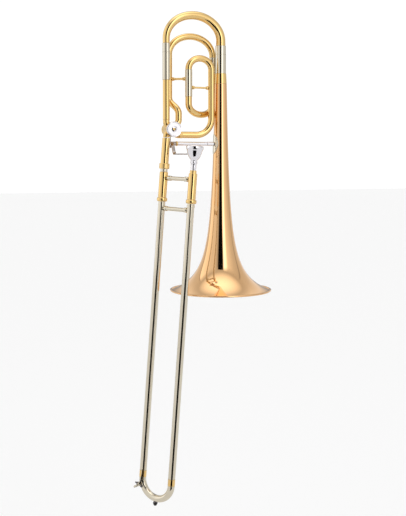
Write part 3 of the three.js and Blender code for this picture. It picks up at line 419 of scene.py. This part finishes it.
def add_turned(work, outline, closed, where, sides=ROUND, shape=None):
    """A solid of revolution from an outline. shape(radius, height, angle) may move the radius."""
    rings = []
    for corner in outline:
        if corner.x < 1e-7:
            rings.append([work.verts.new(where @ Vector((0, 0, corner.y)))])
            continue
        ring = []
        for k in range(sides):
            angle = 2 * math.pi * k / sides
            radius = shape(corner.x, corner.y, angle) if shape else corner.x
            ring.append(work.verts.new(where @ Vector((radius * math.cos(angle), radius * math.sin(angle),
                                                       corner.y))))
        rings.append(ring)
    pairs = list(zip(rings, rings[1:] + rings[:1])) if closed else list(zip(rings, rings[1:]))
    for first, second in pairs:
        if len(first) == 1 and len(second) == 1:
            continue
        if len(first) == 1 or len(second) == 1:
            tip, ring = (first[0], second) if len(first) == 1 else (second[0], first)
            for k in range(sides):
                work.faces.new((tip, ring[k], ring[(k + 1) % sides]))
        else:
            bridge(work, first, second)


def add_block(work, where, low, high, edge=0.35 * MM):
    """A box with rounded edges."""
    low, high = Vector(low), Vector(high)
    shape = Matrix.Translation((low + high) / 2) @ Matrix.Diagonal((*(high - low), 1))
    corners = bmesh.ops.create_cube(work, size=1.0, matrix=where @ shape)["verts"]
    edges = {e for corner in corners for e in corner.link_edges}
    bmesh.ops.bevel(work, geom=list(edges), offset=edge, segments=3, profile=0.5, affect="EDGES")


def lathe(name, outline, closed, where, sides=ROUND, shape=None):
    return mesh_from(name, lambda work: add_turned(work, outline, closed, where, sides, shape))


def turned(cad_node, where, edge=EDGE, steps=4, sides=ROUND, shape=None):
    """A fine round version of a turned CAD node."""
    outline, closed = meridian(cad_node, where)
    outline = soften(outline, closed, edge, steps)
    return settle(lathe(cad_node + "_fine", outline, closed, where, sides, shape), cad_node)


def headings(points):
    """The direction of travel at each point of a route."""
    last = len(points) - 1
    return [(points[min(i + 1, last)] - points[max(i - 1, 0)]).normalized() for i in range(last + 1)]


def tube_rings(work, points, radius_at, sides=TUBE_SIDES):
    """Rings of vertices round a route, turned as little as possible from one to the next."""
    tangents = headings(points)
    side = tangents[0].orthogonal().normalized()
    rings = []
    for i, (point, tangent) in enumerate(zip(points, tangents)):
        side = (side - tangent * side.dot(tangent)).normalized()
        other = tangent.cross(side)
        radius = radius_at(i / (len(points) - 1))
        angles = [2 * math.pi * k / sides for k in range(sides)]
        rings.append([work.verts.new(point + side * (radius * math.cos(a)) + other * (radius * math.sin(a)))
                      for a in angles])
    return rings


def held_ends(points):
    """The same route with an extra point just inside each end."""
    first = points[0] + (points[1] - points[0]).normalized() * HOLD
    last = points[-1] + (points[-2] - points[-1]).normalized() * HOLD
    return [points[0], first, *points[1:-1], last, points[-1]]


def add_tube(work, points, radius_at, wall, sides=TUBE_SIDES):
    """An open tube with a wall, as one closed skin."""
    points = held_ends(points)
    outside = tube_rings(work, points, radius_at, sides)
    inside = tube_rings(work, points, lambda t: radius_at(t) - wall, sides)
    for first, second in zip(outside, outside[1:]):
        bridge(work, first, second)
    for first, second in zip(inside, inside[1:]):
        bridge(work, first, second)
    bridge(work, outside[0], inside[0])
    bridge(work, outside[-1], inside[-1])


def bent(cad_node, points, radius, wall=WALL):
    """A fine bent tube for a CAD node. radius is a number, or a function of how far along the route it is."""
    radius_at = radius if callable(radius) else (lambda t: radius)
    made = mesh_from(cad_node + "_fine", lambda work: add_tube(work, points, radius_at, wall))
    return settle(made, cad_node)


def straight(start, end, steps=6):
    """Points from start to end, without the end itself."""
    start, end = Vector(start), Vector(end)
    return [start.lerp(end, i / steps) for i in range(steps)]


def half_ellipse(first, second, rise, steps=56):
    """Points from first to second over an arc that rises along rise."""
    centre, reach = (first + second) / 2, (first - second) / 2
    return [centre + reach * math.cos(math.pi * i / steps) + rise * math.sin(math.pi * i / steps)
            for i in range(steps + 1)]


def carried(cad_node, width=0.35 * MM, segments=3, angle=35, finish=None):
    """Keeps a CAD node's own mesh, with softened edges and its slot's finish or the one that is named."""
    piece = frame["nodes"][cad_node]
    piece.data.materials.clear()
    piece.data.materials.append(MATERIAL[finish or SLOT_OF[cad_node]])
    piece.data.shade_smooth()
    weld = piece.modifiers.new("weld", "WELD")
    weld.merge_threshold = 1e-6
    soft = piece.modifiers.new("edges", "BEVEL")
    soft.width, soft.segments, soft.limit_method = width, segments, "ANGLE"
    soft.angle_limit = math.radians(angle)
    soft.use_clamp_overlap = True
    soft.harden_normals = True
    return piece


# ---- bell ----
def bell_radius(z):
    return (BELL["stem"] * (1 - z / BELL["stem_run"])
            + (BELL["rim"] - BELL["stem"]) * (BELL["throat"] / (z + BELL["throat"])) ** BELL["flare"])


def bell_point(z, inward):
    """A point on the bell's wall at height z, moved inward along the wall's normal."""
    slope = (bell_radius(z + 1e-4) - bell_radius(z - 1e-4)) / 2e-4
    length = math.hypot(1, slope)
    return Vector((bell_radius(z) - inward / length, z + inward * slope / length))


def make_bell():
    """The flared sheet with its rolled rim as one skin, the wire inside the rim, and the ferrule on top."""
    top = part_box("bell")[1].z
    throat, first, steps = BELL["throat"], BELL["first"], BELL["steps"]
    heights = [(first + throat) * ((top + throat) / (first + throat)) ** (i / steps) - throat
               for i in range(steps + 1)]
    heights.insert(-1, top - HOLD)
    outside = [bell_point(z, 0) for z in heights]
    inside = [bell_point(z, BELL["sheet"]) for z in heights]
    inside[-1].y = top
    centre = Vector((BELL["rim"] - BEAD["radius"], BEAD["radius"]))
    turns = [BEAD["start"] + BEAD["sweep"] * i / BEAD["steps"] for i in range(BEAD["steps"] + 1)]
    bead = [centre + Vector((math.cos(a), math.sin(a))) * BEAD["radius"] for a in map(math.radians, turns)]
    outline = bead + outside + inside[::-1]
    where = place((0, 0, 0), (0, 0, 1))
    settle(lathe("bell_fine", outline, True, where, BELL_SIDES), "bell")
    turned("bell_rim_wire", where, sides=64)
    turned("bell_ferrule", upright("bell_ferrule"))


def make_saddle():
    """The leaf-shaped plate that wraps the bell where the brace meets it."""
    low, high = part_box("bell_saddle")
    half_width, half_height = (high.y - low.y) / 2, (high.z - low.z) / 2
    centre = (high.z + low.z) / 2
    rings, around = SADDLE["rings"], SADDLE["around"]

    def edge(k):
        t = 2 * math.pi * k / around
        taper = 1 - SADDLE["pinch"] * math.sin(t) ** 2
        return half_width * math.cos(t) * taper, half_height * math.sin(t)

    def point(k, scale, lift):
        across, along = edge(k)
        y, z = across * scale, centre + along * scale
        radius = bell_radius(z) + lift
        return Vector((-math.sqrt(radius ** 2 - y ** 2), y, z))

    def build(work):
        skins = []
        for lift, last in ((SADDLE["inner"], 0.99), (SADDLE["outer"], 0.985)):
            tip = work.verts.new(Vector((-(bell_radius(centre) + lift), 0, centre)))
            loops = [[work.verts.new(point(k, ring / rings, lift)) for k in range(around)]
                     for ring in range(1, rings)]
            loops.append([work.verts.new(point(k, last, lift)) for k in range(around)])
            for k in range(around):
                work.faces.new((tip, loops[0][k], loops[0][(k + 1) % around]))
            for first, second in zip(loops, loops[1:]):
                bridge(work, first, second)
            skins.append(loops[-1])
        rim = [work.verts.new(point(k, 1.0, SADDLE["rim"])) for k in range(around)]
        bridge(work, skins[0], rim)
        bridge(work, rim, skins[1])
    settle(mesh_from("bell_saddle_fine", build), "bell_saddle", "nickel_silver")


# ---- tubing of the bell section ----
def make_tuning_slide():
    for name in ("tuning_sleeve_bell", "tuning_sleeve_neck", "crook_ferrule_bell", "crook_ferrule_neck",
                 "tuning_leg_bell", "tuning_leg_neck", "gooseneck"):
        turned(name, upright(name))
    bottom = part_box("tuning_crook")[0].z
    spring = CROOK["spring"]
    neck, bell = Vector((NECK_X, 0, spring)), Vector((0, 0, spring))
    route = straight((NECK_X, 0, bottom), neck, 4)
    route += half_ellipse(neck, bell, Vector((0, 0, CROOK["rise"])))
    route += [Vector((0, 0, bottom + (spring - bottom) * (1 - i / 4))) for i in range(1, 5)]
    bent("tuning_crook", route, lambda t: CROOK["neck"] + (CROOK["bell"] - CROOK["neck"]) * t)


def at_height(xy, z):
    return Vector((xy[0], xy[1], z))


def make_f_tubing():
    low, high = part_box("f_neck_tube")
    start, end = at_height(F_REAR_LEFT, S_BEND["top"]), Vector((F_PORT_X, 0, S_BEND["bottom"]))
    ease = Vector((0, 0, S_BEND["ease"]))
    bezier = [start * (1 - t) ** 3 + (start - ease) * (3 * t * (1 - t) ** 2)
              + (end + ease) * (3 * t * t * (1 - t)) + end * t ** 3 for t in (i / 28 for i in range(29))]
    bent("f_neck_tube", straight(at_height(F_REAR_LEFT, high.z), start) + bezier
         + [end.lerp(Vector((F_PORT_X, 0, low.z)), i / 4) for i in range(1, 5)], BRANCH)

    left, right = (at_height(xy, REAR_ARC["spring"]) for xy in (F_REAR_LEFT, F_REAR_RIGHT))
    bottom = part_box("f_rear_arc")[0].z
    bent("f_rear_arc", half_ellipse(left, right, Vector((0, 0, REAR_ARC["rise"])))
         + [at_height(F_REAR_RIGHT, bottom)], BRANCH)

    start_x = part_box("f_front_branch")[0].x
    run = Vector((F_FRONT_RIGHT.x - start_x, F_FRONT_RIGHT.y, 0)).normalized()
    corner = Vector((F_FRONT_RIGHT.x, F_FRONT_RIGHT.y, RUN_Z + QUARTER_BEND)) - run * QUARTER_BEND
    quarter = [corner + run * (QUARTER_BEND * math.sin(a)) - Vector((0, 0, QUARTER_BEND * math.cos(a)))
               for a in (math.pi / 2 * i / 24 for i in range(25))]
    left, right = (at_height(xy, SMALL_ARC["spring"]) for xy in (F_FRONT_LEFT, F_FRONT_RIGHT))
    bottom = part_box("f_sleeve_front")[1].z + F_SLEEVE_GAP
    route = straight((start_x, 0, RUN_Z), quarter[0], 8) + quarter + straight(quarter[-1], right, 10)[1:]
    route += half_ellipse(right, left, Vector((0, 0, SMALL_ARC["rise"])), 44)
    bent("f_front_branch", route + [at_height(F_FRONT_LEFT, bottom)], BRANCH)

    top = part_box("f_slide_bow")[1].z
    left, right = (at_height(xy, F_BOW["spring"]) for xy in (F_FRONT_LEFT, F_REAR_RIGHT))
    bent("f_slide_bow", straight(at_height(F_FRONT_LEFT, top), left, 5)
         + half_ellipse(left, right, Vector((0, 0, -F_BOW["drop"])))
         + [right.lerp(at_height(F_REAR_RIGHT, top), i / 5) for i in range(1, 6)], BRANCH, BOW_WALL)

    for name in ("f_sleeve_front", "f_sleeve_rear", "f_slide_leg_front", "f_slide_leg_rear"):
        turned(name, upright(name))
    turned("f_port_ferrule", place((0, 0, RUN_Z), (1, 0, 0)))
    for name, size, start, start_radius, end, end_radius in (
            ("f_brace_upper", F_BRACE_UPPER, F_REAR_LEFT, BRANCH, F_FRONT_LEFT, F_SLEEVE_RADIUS),
            ("f_brace_lower", F_BRACE_LOWER, F_FRONT_LEFT, F_SLEEVE_RADIUS, F_FRONT_RIGHT, BRANCH)):
        strut(name, at_height(start, size["z"]), start_radius, at_height(end, size["z"]), end_radius,
              Vector((0, 0, 1)), size["radii"], size["collars"])


def strut(cad_node, start, start_radius, end, end_radius, tube_axis, radii, collars, sides=64):
    """A round brace between two parallel tubes, with a collar at each end that follows the tube it meets."""
    thick, thin = radii
    along = (end - start).normalized()
    side = along.cross(tube_axis).normalized()
    length = (end - start).length
    first, last = start_radius, length - end_radius
    shoulders = [(FILLET * math.sin(a), thick - (thick - thin) * (1 - math.cos(a)))
                 for a in (math.pi / 2 * k / 5 for k in range(1, 6))]
    shoulders.append((1.6 * FILLET, thin))
    from_start, from_end = first + collars[0], last - collars[1]
    outline = [(first, thick), (first + 0.7 * collars[0], thick), (from_start, thick)]
    outline += [(from_start + at, radius) for at, radius in shoulders]
    outline += [(from_end - at, radius) for at, radius in reversed(shoulders)]
    outline += [(from_end, thick), (last - 0.7 * collars[1], thick), (last, thick)]

    def ring_at(work, at, radius, end_shape):
        ring = []
        for k in range(sides):
            angle = 2 * math.pi * k / sides
            sideways = radius * math.sin(angle)
            shift = end_shape(sideways) if end_shape else 0.0
            ring.append(work.verts.new(start + along * (at + shift) + side * sideways
                                       + tube_axis * (radius * math.cos(angle))))
        return ring

    def build(work):
        """The turned body, then each end's face, which lies on the tube that it meets."""
        at_start = lambda sideways: math.sqrt(start_radius ** 2 - sideways ** 2) - start_radius
        at_end = lambda sideways: end_radius - math.sqrt(end_radius ** 2 - sideways ** 2)
        shapes = {0: at_start, len(outline) - 1: at_end}
        rings = [ring_at(work, at, radius, shapes.get(i)) for i, (at, radius) in enumerate(outline)]
        for one, other in zip(rings, rings[1:]):
            bridge(work, one, other)
        for index, shape in shapes.items():
            at, radius = outline[index]
            inner = [rings[index]]
            inner += [ring_at(work, at, radius * share, shape) for share in (0.8, 0.6, 0.4, 0.2)]
            for one, other in zip(inner, inner[1:]):
                bridge(work, one, other)
            tip = work.verts.new(start + along * at)
            for k in range(sides):
                work.faces.new((tip, inner[-1][k], inner[-1][(k + 1) % sides]))
    return settle(mesh_from(cad_node + "_fine", build), cad_node)


# ---- rotor valve ----
def port_route(angle, turn, run_in, reach):
    """Centreline of a port: out of the casing at an angle, a 45 degree bend, then straight on."""
    a = math.radians(angle)
    out = Vector((math.cos(a), 0, math.sin(a)))
    normal = Vector((-out.z * turn, 0, out.x * turn))
    bend_start = ROTOR_AT + out * run_in
    centre = bend_start + normal * PORT["bend"]
    bend = [centre - normal * (PORT["bend"] * math.cos(t)) + out * (PORT["bend"] * math.sin(t))
            for t in (math.pi / 4 * i / 10 for i in range(11))]
    onward = (bend[-1] - bend[-2]).normalized()
    return [ROTOR_AT + out * PORT["root"]] + bend + [bend[-1] + onward * reach]


def make_rotor():
    half, bore, radius = CASING["half"], CASING["bore"], CASING["radius"]
    floor, steps = radius - GROOVE["depth"], GROOVE["steps"]
    wall = [(bore, -half), (radius, -half)]
    for start in (-half + GROOVE["from_front"], half - GROOVE["from_back"]):
        wall += [(radius, start), (floor, start + steps[0]), (floor, start + steps[1]),
                 (radius, start + steps[2])]
    wall += [(radius, half), (bore, half)]
    casing = soften([Vector(corner) for corner in wall], True, EDGE)
    reach = (F_PORT_X - ROTOR_AT.x - (1 - math.cos(math.pi / 4)) * PORT["bend"]) * math.sqrt(2)
    ports = [port_route(135, -1, PORT["offset"], PORT["neck_stub"]),
             port_route(225, 1, PORT["offset"], PORT["stub"]),
             port_route(45, 1, reach, PORT["stub"]),
             port_route(315, 1, PORT["offset"], PORT["stub"])]

    def build(work):
        add_turned(work, casing, True, ROTOR_PLACE)
        for port in ports:
            add_tube(work, port, lambda t: PORT["radius"], WALL)
    settle(mesh_from("rotor_casing_fine", build), "rotor_casing")

    outline = soften([Vector((r * MM, z * MM)) for r, z in VALVE_CAP], True, 0.15 * MM)
    settle(lathe("valve_cap_fine", outline, True, ROTOR_PLACE, 128), "valve_cap")
    turned("bearing_plate", ROTOR_PLACE)
    for name in ("rotor_core", "stop_bumper_rest", "stop_bumper_pressed"):
        carried(name)
    for name in ("stop_arm", "link_rod"):
        carried(name, finish="linkage")


# ---- brace and thumb lever ----
def make_brace():
    brace_axis = place((0, 0, BRACE_Z), (1, 0, 0))
    for name in ("bell_brace", "brace_ferrule", "brace_collar"):
        turned(name, brace_axis, edge=0.6 * MM)
    carried("thumb_lever", 0.6 * MM, 4, finish="linkage")


# ---- hand slide ----
def make_inner_slide():
    far, near = on_slide(0), on_slide(1)

    def flutes(radius, height, angle):
        if radius <= NUT_FLUTES["beyond"]:
            return radius
        return radius - NUT_FLUTES["depth"] * (0.5 + 0.5 * math.cos(NUT_FLUTES["count"] * angle))

    turned("slide_receiver", far)
    turned("lock_nut", far, edge=0.7 * MM, sides=240, shape=flutes)
    for name in ("slide_tenon", "cork_barrel_far", "inner_tube_far", "felt_pad_far"):
        turned(name, far)
    for name in ("cork_barrel_near", "inner_tube_near", "felt_pad_near", "mouthpiece_receiver", "lead_pipe"):
        turned(name, near)
    turned("barrel_ring", far, edge=1.6 * MM, steps=8)
    turned("slide_lock", near, edge=1.6 * MM, steps=8)
    make_mouthpiece(near)
    slide_brace("inner_brace", INNER_BRACE, BARREL["far"], BARREL["near"])


def make_mouthpiece(where):
    """Rounded rim, bowl-shaped cup, beads at its foot and a tapered shank, bored through."""
    highest = max(corner.y for corner in meridian("mouthpiece", where)[0])
    outline = [Vector((r * MM, highest + z * MM)) for r, z in MOUTHPIECE]
    settle(lathe("mouthpiece_fine", soften(outline, True, 2 * MM, 5), True, where, 128), "mouthpiece")


def slide_brace(cad_node, size, far_radius, near_radius):
    start = SLIDE_TOP - SLIDE_UP * size["at"]
    strut(cad_node, start, far_radius, start + ACROSS * SPAN, near_radius, SLIDE_UP, SLIDE_BRACE_RADII,
          size["collars"])


def make_end_bow():
    """The bow's tube in nickel silver, with the darker fittings that stand on it."""
    far, mid = on_slide(0), on_slide(0.5)
    inverse = far.inverted()
    top = (inverse @ topmost("end_bow", inverse)).z
    spring = top - END_BOW["straight"]
    drop = Vector((0, 0, -END_BOW["drop"]))
    arc = half_ellipse(Vector((0, 0, spring)), Vector((SPAN, 0, spring)), drop, 72)
    centreline = [Vector((0, 0, top)), *arc, Vector((SPAN, 0, top))]
    lowest = spring - END_BOW["drop"] - OUTER["radius"]
    key = far @ Matrix.Translation((0, 0, -KEY["down"])) @ Matrix.Rotation(KEY["turn"], 4, "Z")
    hinge = key @ Matrix.Translation(KEY_HINGE["at"]) @ Matrix.Rotation(KEY_HINGE["slant"], 4, "X")
    outward = key @ Matrix.Translation((0, 0, NIPPLE["rise"])) @ Matrix.Rotation(math.pi / 2, 4, "Y")
    tube_faces = []

    def build(work):
        add_tube(work, [far @ point for point in centreline], lambda t: OUTER["radius"],
                 OUTER["radius"] - OUTER["bore"])
        tube_faces.append(len(work.faces))
        low, high, radius = lowest - BUMPER_SEAT["below"], lowest + BUMPER_SEAT["sunk"], BUMPER_SEAT["radius"]
        seat = [Vector(corner) for corner in ((0, low), (radius, low), (radius, high), (0, high))]
        add_turned(work, soften(seat, False, EDGE), False, mid)
        start, end, bore, radius = NIPPLE["from"], NIPPLE["to"], NIPPLE["bore"], NIPPLE["radius"]
        nipple = [Vector(corner) for corner in ((bore, start), (radius, start), (radius, end), (bore, end))]
        add_turned(work, soften(nipple, True, EDGE), True, outward)
        for low, high in (KEY_SADDLE, *KEY_POSTS):
            add_block(work, hinge, low, high)

    piece = settle(mesh_from("end_bow_fine", build), "end_bow")
    piece.data.materials.append(MATERIAL["steel"])
    for face in piece.data.polygons[tube_faces[0]:]:
        face.material_index = 1


def topmost(cad_node, inverse):
    """The vertex of a CAD node that stands highest along a frame."""
    return max((v.co for v in frame["nodes"][cad_node].data.vertices), key=lambda co: (inverse @ co).z)


def make_outer_slide():
    far, near, mid = on_slide(0), on_slide(1), on_slide(0.5)
    for name, where in (("outer_tube_far", far), ("bow_ferrule_far", far), ("outer_tube_near", near),
                        ("bow_ferrule_near", near)):
        turned(name, where)
    turned("bumper", mid, edge=0.7 * MM, steps=6)
    slide_brace("outer_brace", OUTER_BRACE, OUTER["radius"], OUTER["radius"])
    carried("water_key_screw", 0.2 * MM)
    make_end_bow()
    carried("water_key", 0.3 * MM, 3, 30)
    carried("water_key_cork", 0.2 * MM)


# ---- stage ----
CAMERA = {"at": (-0.8660, -1.9888, 0.3033), "turn": 0.39137, "pitch": -0.04359, "lens": 63.76,
          "shift": (0.0, -0.1066)}
FORWARD = Vector((math.sin(CAMERA["turn"]), math.cos(CAMERA["turn"]), 0))
RIGHT = Vector((FORWARD.y, -FORWARD.x, 0))
ROOM_PEAK = 3.0                  # what a level of 1 stands for, as a share of the backdrop's white
# the room that the metal mirrors, as [degrees from the camera's side towards its right, level]
ROOM = [(-180, 0.11), (-170, 0.13), (-160, 0.32), (-140, 0.25), (-123, 0.24), (-120, 0.13), (-116, 0.46),
        (-95, 0.40), (-65, 0.30), (-40, 0.29), (-26, 0.20), (-17, 0.10), (14, 0.10), (19, 0.60), (23, 0.85),
        (33, 0.70), (44, 0.36), (60, 0.31), (82, 0.25), (105, 0.22), (109, 0.12), (115, 0.23), (140, 0.25),
        (160, 0.32), (170, 0.13), (180, 0.11)]
# above the room, its upper band and its ceiling, each blended in between two heights of the mirrored ray
ROOM_TOP = {"level": 0.66, "from": 0.66, "to": 0.78}
CEILING = {"level": 1.85, "from": 0.80, "to": 1.0}
BACKDROP = 1.05
FLOOR = {"reach": 40, "below": 0.03, "colour": (0.80, 0.80, 0.80)}
FLOOR_GLOW = {"seen": 0.155, "mirrored": 0.02}
SOFTBOX = {"azimuth": 20, "distance": 1.2, "height": 2.4, "size": 1.2, "power": 8}
CARD_BLACK = (0.004, 0.004, 0.004)
# black cards in front of the object that only reflections show: a tall narrow one and a low wide one
CARD_CENTRE = Vector((-0.045, 0, 0))
CARDS = {"tall_card": {"distance": 1.25, "half_width": 0.34, "top": 1.44},
         "low_card": {"distance": 1.24, "half_width": 0.62, "top": 0.0}}


def make_camera():
    data = bpy.data.cameras.new("camera")
    camera = new_object("camera", data)
    data.lens, data.sensor_width = CAMERA["lens"], 36
    data.shift_x, data.shift_y = CAMERA["shift"]
    camera.location = CAMERA["at"]
    camera.rotation_euler = (math.pi / 2 + CAMERA["pitch"], 0, -CAMERA["turn"])
    bpy.context.scene.camera = camera


def make_softbox():
    """A weak area light above the object, towards the camera's side, that no mirror shows."""
    a = CAMERA["turn"] + math.pi + math.radians(SOFTBOX["azimuth"])
    data = bpy.data.lights.new("softbox_top", "AREA")
    data.shape, data.size, data.size_y = "RECTANGLE", SOFTBOX["size"], SOFTBOX["size"]
    data.energy = SOFTBOX["power"]
    light = new_object("softbox_top", data)
    light.location = (math.sin(a) * SOFTBOX["distance"], math.cos(a) * SOFTBOX["distance"], SOFTBOX["height"])
    aim = Vector((0, 0, SOFTBOX["height"])) - light.location
    light.rotation_euler = aim.to_track_quat("-Z", "Y").to_euler()
    light.visible_camera = False
    light.visible_glossy = False


def make_world():
    """White to the camera. To the metal, a room whose level goes by bearing, under a band and a ceiling."""
    world = bpy.data.worlds.new("studio")
    bpy.context.scene.world = world
    world.use_nodes = True
    tree = world.node_tree
    tree.nodes.clear()
    direction = node(tree, "ShaderNodeTexCoord").outputs["Generated"]

    def along(axis):
        made = node(tree, "ShaderNodeVectorMath", operation="DOT_PRODUCT")
        tree.links.new(direction, made.inputs[0])
        made.inputs[1].default_value = axis
        return made.outputs["Value"]

    bearing = node(tree, "ShaderNodeMath", operation="ARCTAN2")
    tree.links.new(along(RIGHT), bearing.inputs[0])
    tree.links.new(along(-FORWARD), bearing.inputs[1])
    turn = node(tree, "ShaderNodeMapRange", **{"From Min": -math.pi, "From Max": math.pi})
    tree.links.new(bearing.outputs["Value"], turn.inputs["Value"])
    ramp = node(tree, "ShaderNodeValToRGB").color_ramp
    ramp_node = tree.nodes[-1]
    tree.links.new(turn.outputs["Result"], ramp_node.inputs["Fac"])
    while len(ramp.elements) < len(ROOM):
        ramp.elements.new(0.5)
    for element, (degrees, level) in zip(ramp.elements, ROOM):
        element.position = (degrees + 180) / 360
        element.color = (level, level, level, 1)
    height = along(Vector((0, 0, 1)))
    light = node(tree, "ShaderNodeMath", operation="MULTIPLY")
    tree.links.new(ramp_node.outputs["Color"], light.inputs[0])
    light.inputs[1].default_value = ROOM_PEAK
    light = light.outputs["Value"]
    for layer in (ROOM_TOP, CEILING):
        reach = node(tree, "ShaderNodeMapRange", **{"From Min": layer["from"], "From Max": layer["to"]})
        tree.links.new(height, reach.inputs["Value"])
        over = node(tree, "ShaderNodeMix", data_type="FLOAT", B=layer["level"])
        tree.links.new(reach.outputs["Result"], over.inputs["Factor"])
        tree.links.new(light, over.inputs[2])
        light = over.outputs[0]
    seen = node(tree, "ShaderNodeLightPath").outputs["Is Camera Ray"]
    strength = node(tree, "ShaderNodeMix", data_type="FLOAT", B=BACKDROP)
    tree.links.new(seen, strength.inputs["Factor"])
    tree.links.new(light, strength.inputs[2])
    background = node(tree, "ShaderNodeBackground")
    background.inputs["Color"].default_value = (1, 1, 1, 1)
    tree.links.new(strength.outputs[0], background.inputs["Strength"])
    out = node(tree, "ShaderNodeOutputWorld")
    tree.links.new(background.outputs[0], out.inputs["Surface"])


def card(name, corners, colour):
    """A flat matt sheet that belongs to the stage."""
    work = bmesh.new()
    work.faces.new([work.verts.new(Vector(c)) for c in corners])
    mesh = bpy.data.meshes.new(name)
    work.to_mesh(mesh)
    work.free()
    made = new_object(name, mesh)
    material, _, shader, _ = new_material(name)
    shader.inputs["Base Color"].default_value = (*colour, 1)
    shader.inputs["Roughness"].default_value = 0.9
    shader.inputs["Specular IOR Level"].default_value = 0.0
    mesh.materials.append(material)
    return made


def make_stage():
    """A pale floor far enough down for the hand slide to come out, the black cards and one soft light."""
    floor_z = cad_bounds[0].z - JOINT["hand_slide"]["range_m"][1] - FLOOR["below"]
    reach = FLOOR["reach"]
    corners = [(-reach, -reach, floor_z), (reach, -reach, floor_z), (reach, reach, floor_z),
               (-reach, reach, floor_z)]
    floor = card("floor", corners, FLOOR["colour"])
    tree = floor.data.materials[0].node_tree
    shader = tree.nodes["Principled BSDF"]
    shader.inputs["Emission Color"].default_value = (1, 1, 1, 1)
    glow = node(tree, "ShaderNodeMix", data_type="FLOAT", A=FLOOR_GLOW["seen"], B=FLOOR_GLOW["mirrored"])
    tree.links.new(node(tree, "ShaderNodeLightPath").outputs["Is Glossy Ray"], glow.inputs["Factor"])
    tree.links.new(glow.outputs[0], shader.inputs["Emission Strength"])

    for name, size in CARDS.items():
        centre, side = CARD_CENTRE - FORWARD * size["distance"], RIGHT * size["half_width"]
        low, high = Vector((0, 0, floor_z)), Vector((0, 0, size["top"]))
        corners = [centre - side + low, centre + side + low, centre + side + high, centre - side + high]
        flag = card(name, corners, CARD_BLACK)
        flag.visible_camera = False
        flag.visible_diffuse = False
        flag.visible_shadow = False

    make_softbox()
    bpy.context.scene.view_settings.view_transform = "Standard"


make_camera()
make_world()
make_stage()
make_bell()
make_saddle()
make_tuning_slide()
make_f_tubing()
make_rotor()
make_brace()
make_inner_slide()
make_outer_slide()
